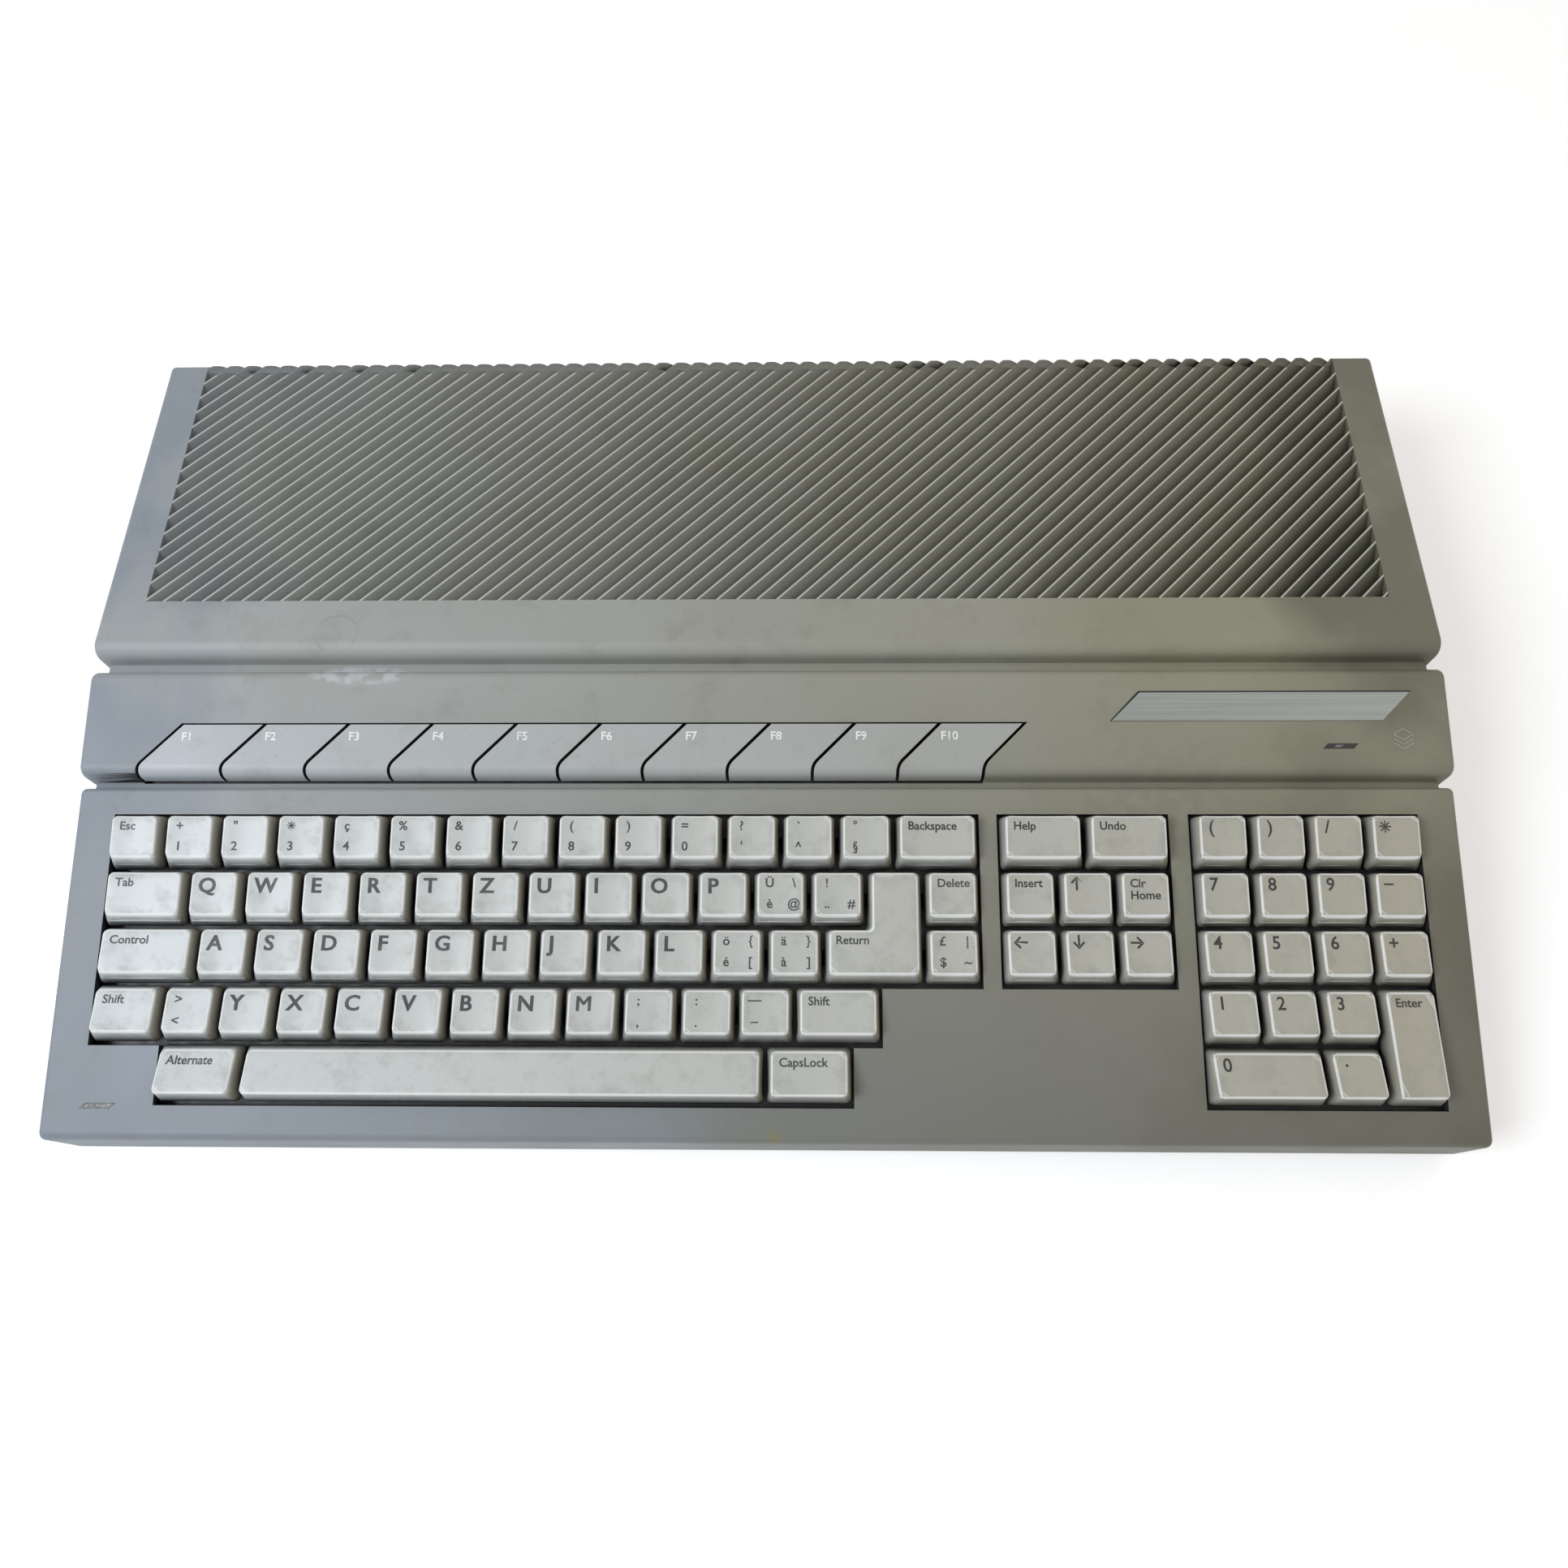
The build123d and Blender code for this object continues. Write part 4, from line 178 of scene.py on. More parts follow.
def aged_plastic(name, back_shades, shadowed_front_shades, stain, roughness):
    """Old moulded ABS: a cool to warm drift across the case that is partly a painted fall-off of light,
    front shades that can paint a shadow over the front, clouds, smudges and a fine grain.
    """
    material, tree, shader = start_material(name, Roughness=roughness)
    place = add_node(tree, "ShaderNodeTexCoord").outputs["Object"]
    axes = add_node(tree, "ShaderNodeSeparateXYZ", {0: place})
    # The drift runs from cool and light to warm and darker across the case: partly yellowing, partly a
    # painted fall-off of the lamp's light.
    drift_and_falloff = add_node(tree, MAP_RANGE, {0: axes.outputs["X"], 1: -HALF_WIDTH, 2: HALF_WIDTH})
    clouds = add_node(tree, NOISE, {"Vector": place, "Scale": scale_for(CLOUD), "Detail": 4.0})
    shift = add_node(tree, MATH, {0: clouds.outputs["Fac"], 1: 0.5}, operation="SUBTRACT")
    blend = add_node(tree, MATH, {0: shift, 1: 0.5, 2: drift_and_falloff}, operation="MULTIPLY_ADD", use_clamp=True)
    # Painted shadow: towards the front, the darker front shades take over.
    out_of_shadow = add_node(tree, MAP_RANGE, {0: axes.outputs["Y"], 1: SHADOW_FULL_Y, 2: SHADOW_GONE_Y})
    skin = add_node(tree, MIX, {0: out_of_shadow, 6: shade_ramp(tree, blend, shadowed_front_shades),
                                7: shade_ramp(tree, blend, back_shades)}, data_type="RGBA").outputs[2]
    # Two layers of dirt: soft smudges, then small specks, each from where its noise passes a level.
    for size_mm, detail, rough, level, full in ((SMUDGE, 6.0, 0.65, 0.54, 0.8),
                                                (SPECK, 3.0, 0.5, 0.68, 0.76)):
        noise = add_node(tree, NOISE, {"Vector": place, "Scale": scale_for(size_mm), "Detail": detail,
                                       "Roughness": rough})
        dirt = add_node(tree, MAP_RANGE, {0: noise.outputs["Fac"], 1: level, 2: full, 4: 0.35})
        skin = add_node(tree, MIX, {0: dirt, 6: skin, 7: colour(stain)}, data_type="RGBA").outputs[2]
    grain = add_node(tree, NOISE, {"Vector": place, "Scale": scale_for(GRAIN), "Detail": 2.0})
    bump = add_node(tree, "ShaderNodeBump",
                    {"Strength": 0.35, "Distance": 0.05 * MM, "Height": grain.outputs["Fac"]})
    worn = add_node(tree, MAP_RANGE,
                    {0: clouds.outputs["Fac"], 1: 0.3, 2: 0.7, 3: roughness - 0.07, 4: roughness + 0.07})
    tree.links.new(bump.outputs[0], shader.inputs["Normal"])
    tree.links.new(worn.outputs[0], shader.inputs["Roughness"])
    tree.links.new(skin, shader.inputs["Base Color"])
    return material, tree, shader, axes, skin


# The function keys are of a paler grey ABS, and so is the embossed sign beside the drive's lamp. Their
# shades darken to the right, partly as a painted fall-off of the lamp's light.
FUNCTION_SHADES = [(0, "#b3b9be"), (0.5, "#a9aca9"), (1, "#9b9b90")]
key_grey_plastic, *_ = aged_plastic("abs_function_key_grey", FUNCTION_SHADES, FUNCTION_SHADES,
                                    "#77766d", 0.5)
# The ends of the ribs are darker and duller than the rest of the case, like the rib slopes beside them.
RIB_END_SHADES = [(0, "#7b8183"), (0.5, "#77776f"), (0.85, "#6c6a5b"), (1, "#5f5d4e")]
rib_end_plastic, *_ = aged_plastic("abs_darker_rib_end", RIB_END_SHADES, RIB_END_SHADES, "#5c5b52", 0.6)
# Shades across the case, behind and in front. Both darken to the right, partly as a painted fall-off of
# the lamp's light, and the front ones are darker still as a painted shadow.
BACK_SHADES = [(0, "#868e97"), (0.12, "#a0a4a3"), (0.5, "#98988e"), (0.87, "#8d8b76"), (0.95, "#7b7967"),
               (1, "#6b6959")]
SHADOWED_FRONT_SHADES = [(0, "#7a838d"), (0.25, "#7e868c"), (0.5, "#747773"), (0.8, "#717067"), (1, "#5f5d4e")]
case_plastic, case_tree, case_shader, case_axes, case_skin = aged_plastic(
    "abs_moulded_grey", BACK_SHADES, SHADOWED_FRONT_SHADES, "#6c6a5f", 0.52)
print("case plastic", len(case_tree.nodes), "nodes")


# %% [markdown]
# ## Marks of use
# Old age alone looks too even. Four marks tell of one owner: a cup's ring, a drip, a scuff and the grime
# of a hand. Each is a soft patch around a point of the case, in millimetres, torn by a noise so that its
# edge isn't a clean circle. The rib field gets its dust and painted shade in the same pass, by depth, and
# a painted highlight on its ridges.

# %% Marks, dust and painted light on the case
def spot(tree, place, middle, reach, feather, stretch=(1, 1, 1)):
    """A soft patch around a point of the case, 1 inside its reach and 0 beyond the feather."""
    offset = add_node(tree, "ShaderNodeVectorMath", {0: place, 1: Vector(middle) * MM},
                      operation="SUBTRACT")
    drawn = add_node(tree, "ShaderNodeVectorMath", {0: offset, 1: stretch}, operation="MULTIPLY")
    far = add_node(tree, "ShaderNodeVectorMath", {0: drawn}, operation="LENGTH")
    return add_node(tree, MAP_RANGE, {0: far.outputs["Value"], 1: reach * MM, 2: (reach + feather) * MM,
                                      3: 1.0, 4: 0.0})


def marks_of_use(tree, skin):
    """A cup's faint ring on the back, a scuff in the groove, a drip on the front edge and hand grime."""
    place = add_node(tree, "ShaderNodeTexCoord").outputs["Object"]
    torn = add_node(tree, NOISE, {"Vector": place, "Scale": scale_for(TEAR), "Detail": 6.0})
    ragged = add_node(tree, MAP_RANGE, {0: torn.outputs["Fac"], 1: 0.4, 2: 0.55})
    disc, hole = (spot(tree, place, (-149, 22, 64), reach, 0.6) for reach in (7.4, 6.4))
    ring = add_node(tree, MATH, {0: disc, 1: hole}, operation="SUBTRACT")
    drip = spot(tree, place, (5.9, -143.4, 27), 1.8, 1.0, (1, 0.6, 0.6))
    grime = spot(tree, place, (138, -46, 47), 14, 30)
    scuff = spot(tree, place, (-140, 8.5, 58), 12, 4, (0.8, 3, 0.5))
    for mask, strength, shade in ((ring, 0.3, "#7d7c72"), (drip, 0.7, "#7c7658"),
                                  (grime, 0.25, "#6b6b63"), (scuff, 0.9, "#b9bcbf")):
        worn = add_node(tree, MATH, {0: mask, 1: ragged}, operation="MULTIPLY")
        weak = add_node(tree, MATH, {0: worn, 1: strength}, operation="MULTIPLY")
        skin = add_node(tree, MIX, {0: weak, 6: skin, 7: colour(shade)}, data_type="RGBA").outputs[2]
    return skin


def rib_dust_and_shade(tree, shader, axes, skin):
    """Dust and painted shade between the ribs, darker with depth, and painted highlights on the ridges,
    inside the rib field only.
    """
    depth = add_node(tree, MAP_RANGE, {0: axes.outputs["Z"], 1: TOP_Z, 2: TOP_Z - RIB_DEPTH})
    behind = add_node(tree, MATH, {0: axes.outputs["Y"], 1: RIB_FRONT_Y}, operation="GREATER_THAN")
    across = add_node(tree, MATH, {0: axes.outputs["X"]}, operation="ABSOLUTE")
    between = add_node(tree, MATH, {0: across, 1: RIB_HALF_WIDTH}, operation="LESS_THAN")
    inside = add_node(tree, MATH, {0: behind, 1: between}, operation="MULTIPLY")
    # Dust and painted shade: the valleys darken with depth.
    dust_and_shade = shade_ramp(tree, depth, [(0, "#ffffff"), (0.06, "#c9cac6"), (0.55, "#b7b8b4"), (0.9, "#a6a7a3"),
                                    (1, "#6a6a66")])
    dusty_and_shaded = add_node(tree, MIX, {0: inside, 6: skin, 7: dust_and_shade}, data_type="RGBA", blend_type="MULTIPLY")
    # Painted highlight: the ridges are paled as if they catch the light.
    ridge_highlight = add_node(tree, MAP_RANGE, {0: depth, 1: 0.01, 2: 0.04, 3: 0.75, 4: 0.0})
    rubbed = add_node(tree, MATH, {0: ridge_highlight, 1: inside}, operation="MULTIPLY")
    ridge_highlighted = add_node(tree, MIX, {0: rubbed, 6: dusty_and_shaded.outputs[2], 7: colour("#bfc1b8")}, data_type="RGBA")
    tree.links.new(ridge_highlighted.outputs[2], shader.inputs["Base Color"])


rib_dust_and_shade(case_tree, case_shader, case_axes, marks_of_use(case_tree, case_skin))
print("case plastic with its marks", len(case_tree.nodes), "nodes")


# %% [markdown]
# ## Key plastic, and the ink on it
# Keycaps are moulded in a paler ABS and carry the dirt of many fingers: grey blotches in the dish, most of
# it towards the edges that a finger leaves. Painted light comes on top: a pale painted highlight along the
# rim, painted shade that darkens the walls towards the skirt, painted shade with some brown grime on the
# walls that face right, away from the lamp, and a drift across the field that is partly yellowing and
# partly a painted fall-off of the lamp's light. Three attributes that the key's own mesh carries, its
# height above the skirt, the distance from the rim of its top and its reach to the right, let the dirt
# and the painted light follow each key instead of the whole field.

# %% Key plastic
BLOTCH, KEY_SPECK, KEY_GRAIN = 8, 1.1, 0.35
key_plastic, key_tree, key_shader = start_material("abs_keycap_pale_grey", Roughness=0.48)
key_place = add_node(key_tree, "ShaderNodeTexCoord").outputs["Object"]
key_height, rim_distance, right_side = (
    add_node(key_tree, "ShaderNodeAttribute", attribute_name=name).outputs["Fac"]
    for name in ("height", "rim_distance", "right_side"))
key_axes = add_node(key_tree, "ShaderNodeSeparateXYZ", {0: key_place})
# Across the field the keys go from cool and pale to warm and darker: partly yellowing, partly a painted
# fall-off of the lamp's light.
key_drift_and_falloff = add_node(key_tree, MAP_RANGE, {0: key_axes.outputs["X"], 1: -HALF_WIDTH, 2: HALF_WIDTH})
key_skin = add_node(key_tree, MIX, {0: key_drift_and_falloff, 6: colour("#d1d7d9"), 7: colour("#aaa695")},
                    data_type="RGBA").outputs[2]
blotches = add_node(key_tree, NOISE,
                    {"Vector": key_place, "Scale": scale_for(BLOTCH), "Detail": 8.0, "Roughness": 0.7})
near_rim = add_node(key_tree, MAP_RANGE, {0: rim_distance, 1: 0.6, 2: 3.0, 3: 0.06, 4: 0.0})
dirt_field = add_node(key_tree, MATH, {0: blotches.outputs["Fac"], 1: near_rim}, operation="ADD")
dirt = add_node(key_tree, MAP_RANGE, {0: dirt_field, 1: 0.5, 2: 0.8, 4: 0.5})
# Painted shade: the walls darken and turn bluish towards the skirt, where the gap shades them.
low = add_node(key_tree, MAP_RANGE, {0: key_height, 1: 0.75, 2: 0.1, 3: 0.0, 4: 0.3})
# Painted shade with some brown grime: the walls that face right, away from the lamp, turn dark brown.
right_wall_grime_and_shade = add_node(key_tree, MAP_RANGE, {0: right_side, 1: 0.03, 2: 0.3, 3: 0.0, 4: 0.8})
# Painted highlight: a pale line along the rim of the top, kept off the walls.
on_top = add_node(key_tree, MATH, {0: rim_distance, 1: 0.02}, operation="GREATER_THAN")
rim_highlight_band = add_node(key_tree, MAP_RANGE, {0: rim_distance, 1: 0.3, 2: 0.6, 3: 0.95, 4: 0.0})
painted_rim_highlight = add_node(key_tree, MATH, {0: on_top, 1: rim_highlight_band}, operation="MULTIPLY")
key_specks = add_node(key_tree, NOISE,
                      {"Vector": key_place, "Scale": scale_for(KEY_SPECK), "Detail": 3.0})
key_dots = add_node(key_tree, MAP_RANGE, {0: key_specks.outputs["Fac"], 1: 0.68, 2: 0.8, 4: 0.4})
# The layers lie over each other in this order: blotches, painted shade low on the walls, painted shade
# with brown grime on the right walls, the painted rim highlight, specks.
for mask, shade in ((dirt, "#85877f"), (low, "#a6acb2"), (right_wall_grime_and_shade, "#9a937c"), (painted_rim_highlight, "#e9ebe8"),
                    (key_dots, "#77776d")):
    key_skin = add_node(key_tree, MIX, {0: mask, 6: key_skin, 7: colour(shade)},
                        data_type="RGBA").outputs[2]
key_grain = add_node(key_tree, NOISE, {"Vector": key_place, "Scale": scale_for(KEY_GRAIN)})
key_bump = add_node(key_tree, "ShaderNodeBump",
                    {"Strength": 0.2, "Distance": 0.03 * MM, "Height": key_grain.outputs["Fac"]})
key_rough = add_node(key_tree, MAP_RANGE, {0: dirt, 2: 0.6, 3: 0.42, 4: 0.62})
key_tree.links.new(key_skin, key_shader.inputs["Base Color"])
key_tree.links.new(key_bump.outputs[0], key_shader.inputs["Normal"])
key_tree.links.new(key_rough.outputs[0], key_shader.inputs["Roughness"])
print("key plastic", len(key_tree.nodes), "nodes")


# %% Inks
def printed_ink(name, fresh, rubbed, size_mm):
    """Ink that fingers have thinned here and there."""
    material, tree, shader = start_material(name, Roughness=0.5)
    place = add_node(tree, "ShaderNodeTexCoord").outputs["Object"]
    noise = add_node(tree, NOISE, {"Vector": place, "Scale": scale_for(size_mm), "Detail": 4.0})
    thin = add_node(tree, MAP_RANGE, {0: noise.outputs["Fac"], 1: 0.5, 2: 0.75})
    mixed = add_node(tree, MIX, {0: thin, 6: colour(fresh), 7: colour(rubbed)}, data_type="RGBA")
    tree.links.new(mixed.outputs[2], shader.inputs["Base Color"])
    return material


# The main block is printed in a soft dark grey, Backspace and the other two blocks in black, and the
# function keys in white.
dark_ink = printed_ink("ink_dark_grey", "#3f4244", "#5c5f5f", 5)
black_ink = printed_ink("ink_black", "#242424", "#45453f", 6)
pale_ink = printed_ink("ink_pale", "#eef1f0", "#c9cdcc", 4)
print("inks", [ink.name for ink in (dark_ink, black_ink, pale_ink)])

# %% [markdown]
# ## The other finishes
# Each remaining stuff gets its own small tree. They share one pattern: a colour that wanders a little
# with noise of a real size, and a roughness or a bump of its own. Metals keep the default IOR.

# %% Finishes for metal, rubber, boards and lamps
def plain_stuff(name, light, dark, size_mm, roughness, metallic=0.0, bump_mm=0.0, stretch=(1, 1, 1)):
    """One stuff whose colour and roughness wander together; stretch draws the pattern out."""
    material, tree, shader = start_material(name, Roughness=roughness, Metallic=metallic)
    place = add_node(tree, "ShaderNodeTexCoord").outputs["Object"]
    drawn = add_node(tree, "ShaderNodeMapping", {"Vector": place, "Scale": stretch})
    noise = add_node(tree, NOISE, {"Vector": drawn, "Scale": scale_for(size_mm), "Detail": 5.0})
    spread = add_node(tree, MAP_RANGE, {0: noise.outputs["Fac"], 1: 0.35, 2: 0.68})
    mixed = add_node(tree, MIX, {0: spread, 6: colour(light), 7: colour(dark)}, data_type="RGBA")
    rough = add_node(tree, MAP_RANGE, {0: noise.outputs["Fac"], 1: 0.3, 2: 0.7, 3: roughness - 0.08,
                                       4: roughness + 0.08})
    tree.links.new(mixed.outputs[2], shader.inputs["Base Color"])
    tree.links.new(rough.outputs[0], shader.inputs["Roughness"])
    if bump_mm:
        bump = add_node(tree, "ShaderNodeBump",
                        {"Strength": 0.5, "Distance": bump_mm * MM, "Height": noise.outputs["Fac"]})
        tree.links.new(bump.outputs[0], shader.inputs["Normal"])
    return material


# Black polystyrene of sockets and the switch: a dark satin skin with a hint of dust.
socket_plastic = plain_stuff("black_socket_plastic", "#262728", "#37383a", 3, 0.42, bump_mm=0.02)
# Tinned steel sheet of shields and the drive frame: grey, with cloudy tin crystals.
tinned_steel = plain_stuff("tinned_steel_sheet", "#b6b8b8", "#8e9294", 6, 0.36, 1.0, 0.01)
# Zinc-plated screws: brighter, a little yellow where the passivation stays.
zinc_steel = plain_stuff("zinc_plated_steel", "#c8c6bd", "#9d9c94", 1.5, 0.3, 1.0)
# Nickel-plated shells of the connectors.
nickel_shell = plain_stuff("nickel_plated_shell", "#bdbcb7", "#93928d", 2, 0.28, 1.0, 0.01)
# Moulded rubber of feet and the dome mat: dull, dusty and slightly grey.
rubber = plain_stuff("moulded_rubber", "#2f2f2e", "#444340", 2, 0.8, bump_mm=0.05)
# Glass-epoxy board under green solder resist.
board = plain_stuff("green_solder_resist", "#2f5a3c", "#24482f", 4, 0.35, bump_mm=0.03)
# Moulded epoxy of chip packages: black, faintly grainy.
epoxy = plain_stuff("black_moulding_epoxy", "#1f2022", "#2c2d2f", 1, 0.5, bump_mm=0.02)
# Brushed aluminium: streaks along the plate, so the noise is drawn out in X.
brushed = plain_stuff("brushed_aluminium", "#8f9593", "#7f8583", 0.3, 0.45, 1.0, 0.005, (0.003, 1, 1))
# Smoked window of the drive's lamp: almost black while it is off.
dark_window = plain_stuff("smoked_acrylic_window", "#0c0d0e", "#191a1c", 1.4, 0.4)
# Window of the power lamp, with the upright flutes of its moulding. It also gives the painted glints on
# both lamps' slots.
fluted_window_and_glints = plain_stuff("fluted_acrylic_window_and_painted_glints", "#8d9090", "#26282a", 1.1, 0.4,
                            stretch=(1, 0.03, 0.1))
# Painted shade, with a little old dust, in the gaps around the keys; also the painted shadow line along
# the name plate.
gap_shade_and_dust = plain_stuff("gap_painted_shade_black", "#17181a", "#26272a", 3, 0.9)
# Flat ribbon and keyboard leads in grey vinyl.
lead_vinyl = plain_stuff("grey_vinyl_lead", "#8f9090", "#78797a", 1.27, 0.55, stretch=(1, 0.1, 0.1))
print("materials", len(bpy.data.materials))

# %% [markdown]
# ## The deck's own frame
# The keys stand square on a deck that slopes 12.1 degrees. They are built flat, around the middle of
# their own place, and one matrix then carries them onto the slope, as a jig would.

# %% Deck and key grid
SLOPE = radians(12.1)
KEY_UNIT = 19.05 * MM
# The datum line runs between the first and the second row: four rows lie in front of it.
FRONT_MARGIN, ROWS_TO_DATUM = 11.5 * MM, 4
KEY_DATUM_Y = FRONT_Y + FRONT_MARGIN + ROWS_TO_DATUM * KEY_UNIT * cos(SLOPE)
DECK_FRONT_Z = 26.2 * MM
DECK = (Matrix.Translation((0, KEY_DATUM_Y, DECK_FRONT_Z + (KEY_DATUM_Y - FRONT_Y) * tan(SLOPE)))
        @ Matrix.Rotation(SLOPE, 4, "X"))
FLAT = DECK.inverted()
# The band of the function keys lies parallel to the deck and stands this much over it.
BAND_RISE = 2.396 * MM
# Three blocks of keys, with their widths in key units and the gaps between them.
MAIN_UNITS, CURSOR_UNITS, NUMBER_UNITS = 15.5, 3, 4
CURSOR_GAP, NUMBER_GAP = 6.6 * MM, 7.2 * MM
MAIN_X = -((MAIN_UNITS + CURSOR_UNITS + NUMBER_UNITS) * KEY_UNIT + CURSOR_GAP + NUMBER_GAP) / 2
CURSOR_X = MAIN_X + MAIN_UNITS * KEY_UNIT + CURSOR_GAP
NUMBER_X = CURSOR_X + CURSOR_UNITS * KEY_UNIT + NUMBER_GAP
print("key field from", round(MAIN_X / MM, 1), "to",
      round((NUMBER_X + NUMBER_UNITS * KEY_UNIT) / MM, 1), "mm")

# %% [markdown]
# ## How a piece is finished
# Every new piece ends in the same way. Its bmesh becomes a mesh with its material, its object stays at
# the origin, it rides on a body so that it moves with the joints, and where it stands for nodes of the
# CAD model it takes their place.

# %% Finish a piece
def to_mesh(bm, name):
    """Turns a bmesh into a mesh and frees it."""
    mesh = bpy.data.meshes.new(name)
    bm.to_mesh(mesh)
    bm.free()
    return mesh


def finish_piece(name, bm, material, body, stands_for=(), smooth=True):
    """Writes a bmesh as a piece that rides on a body and stands for CAD nodes."""
    mesh = to_mesh(bm, name)
    mesh.materials.append(material)
    mesh.polygons.foreach_set("use_smooth", [smooth] * len(mesh.polygons))
    piece = new_object(name, mesh)
    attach(piece, body)
    if stands_for:
        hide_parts(*stands_for)
    return piece


print("bodies to ride on", len(set(body_of.values())))

# %% [markdown]
# ## Keycaps
# A keycap is a thin shell with four sloping walls and a top that is dished like a piece of a cylinder.
# The tops of the five rows lean together like a shallow bowl, so each row has its own heights. A box
# with a bevel would give flat tops, so the cap starts as a grid: the grid becomes the dish, its border
# is drawn down to the skirt, then the four corners and the rim are rounded with a bevel each. The
# hollow below is an inset of the skirt's face pushed up.

# %% Sizes of a keycap
KEY_GAP = 0.85 * MM
# The skirt ends in the shade of the gap, a little higher than on the CAD keys: so light reaches the walls.
SKIRT_Z = -1.4 * MM
SIDE_INSET = 1.65 * MM
# Millimetres over the deck, and in from the skirt, of the tops' edges, from the back row to the front.
BACK_HEIGHTS, FRONT_HEIGHTS = (5.0, 3.5, 2.7, 2.6, 2.7), (4.6, 3.5, 3.8, 4.6, 6.6)
BACK_INSETS, FRONT_INSETS = (0.6, 0.6, 0.7, 1.2, 1.65), (3.7, 3.5, 3.4, 3.2, 3.0)
DISH = 0.9 * MM
CORNER_ROUND, RIM_ROUND = 1.7 * MM, 0.45 * MM
SHELL, HOLLOW = 1.4 * MM, 2.1 * MM
STEM_SIZE, STEM_END_Z = 5 * MM, -9.8 * MM
# The space bar is longer than any key and stands on three stems.
LONG_BAR_UNITS, BAR_STEM_REACH = 4, 3 * KEY_UNIT
print("a key of one unit is", round((KEY_UNIT - KEY_GAP) / MM, 2), "mm wide at its skirt")


# %% The top of a keycap
def top_edges(row, rows):
    """The (y, z) of the front and the back edge of a key's top, around the key's middle."""
    half, front_row = (rows * KEY_UNIT - KEY_GAP) / 2, row + rows - 2
    return ((FRONT_INSETS[front_row] * MM - half, FRONT_HEIGHTS[front_row] * MM),
            (half - BACK_INSETS[row - 1] * MM, BACK_HEIGHTS[row - 1] * MM))


def top_height(x, y, half_top, edges, dish=DISH):
    """Height of a key's top: a dish across the key, on the plane between its front and back edge."""
    (front_y, front_z), (back_y, back_z) = edges
    plane = front_z + (back_z - front_z) * (y - front_y) / (back_y - front_y)
    return plane - dish * (1 - (x / half_top) ** 2)


def grid_top(half_top, edges, dish):
    """The dished grid of a key's top."""
    bm = bmesh.new()
    bmesh.ops.create_grid(bm, x_segments=max(6, round(half_top / KEY_UNIT * 14)), y_segments=6, size=1)
    (low_y, _), (high_y, _) = edges
    for v in bm.verts:
        x, y = v.co.x * half_top, (low_y + high_y) / 2 + v.co.y * (high_y - low_y) / 2
        v.co = (x, y, top_height(x, y, half_top, edges, dish))
    return bm


print("home row's top, (y, z) of front and back in mm:",
      [tuple(round(v / MM, 2) for v in edge) for edge in top_edges(3, 1)])


# %% Walls, rounding and the room below
UPRIGHT, LEVEL, LEANING = 0.6, 0.9, 0.7


def draw_walls(bm, landing):
    """Draws the top's border down to the skirt; landing says where each border point goes."""
    border = [e for e in bm.edges if e.is_boundary]
    drawn = bmesh.ops.extrude_edge_only(bm, edges=border)["geom"]
    for v in [g for g in drawn if isinstance(g, bmesh.types.BMVert)]:
        v.co.x, v.co.y = landing(v.co.x, v.co.y)
        v.co.z = SKIRT_Z
    bmesh.ops.recalc_face_normals(bm, faces=bm.faces)


def round_over(bm):
    """Rounds the upright corners, then the rim of the top, both found by how their faces stand."""
    upright = [e for e in bm.edges if len(e.link_faces) == 2
               and all(abs(f.normal.z) < UPRIGHT for f in e.link_faces)
               and e.calc_face_angle(0) > radians(50)]
    bmesh.ops.bevel(bm, geom=upright, offset=CORNER_ROUND, offset_type="OFFSET", segments=4,
                    profile=0.5, affect="EDGES", clamp_overlap=True, material=-1)
    rim = [e for e in bm.edges if len(e.link_faces) == 2
           and max(f.normal.z for f in e.link_faces) > LEVEL
           and min(f.normal.z for f in e.link_faces) < LEANING]
    bmesh.ops.bevel(bm, geom=rim, offset=RIM_ROUND, offset_type="OFFSET", segments=3,
                    profile=0.5, affect="EDGES", clamp_overlap=True, material=-1)


def hollow_out(bm, stems):
    """Closes the skirt, pushes the room under the top up, and adds the stems."""
    skirt = [e for e in bm.edges if e.is_boundary]
    floor = bmesh.ops.edgeloop_fill(bm, edges=skirt)["faces"]
    bmesh.ops.inset_region(bm, faces=floor, thickness=SHELL, use_even_offset=True)
    roof = bmesh.ops.extrude_discrete_faces(bm, faces=floor)["faces"]
    for v in roof[0].verts:
        v.co.z += HOLLOW
    bmesh.ops.recalc_face_normals(bm, faces=bm.faces)
    height = SKIRT_Z + HOLLOW - STEM_END_Z
    for x, y in stems:
        place = Matrix.Translation((x, y, STEM_END_Z + height / 2))
        bmesh.ops.create_cube(bm, size=1,
                              matrix=place @ Matrix.Diagonal((STEM_SIZE, STEM_SIZE, height, 1)))


print("walls fall to", round(SKIRT_Z / MM, 1), "mm, stems to", round(STEM_END_Z / MM, 1), "mm")


# %% What the dirt has to know
# Points of the walls get a negative distance from the rim, which keeps the painted rim highlight off the
# walls.
WALL_SHARE, OFF_THE_TOP = 0.6, -2


def rim_gap(point, outline):
    """Distance from a point to the nearest side of the top's outline."""
    gaps = []
    for a, b in zip(outline, outline[1:] + outline[:1]):
        share = geometry.intersect_point_line(point, a, b)[1]
        gaps.append((point - a.lerp(b, min(1, max(0, share)))).length)
    return min(gaps)


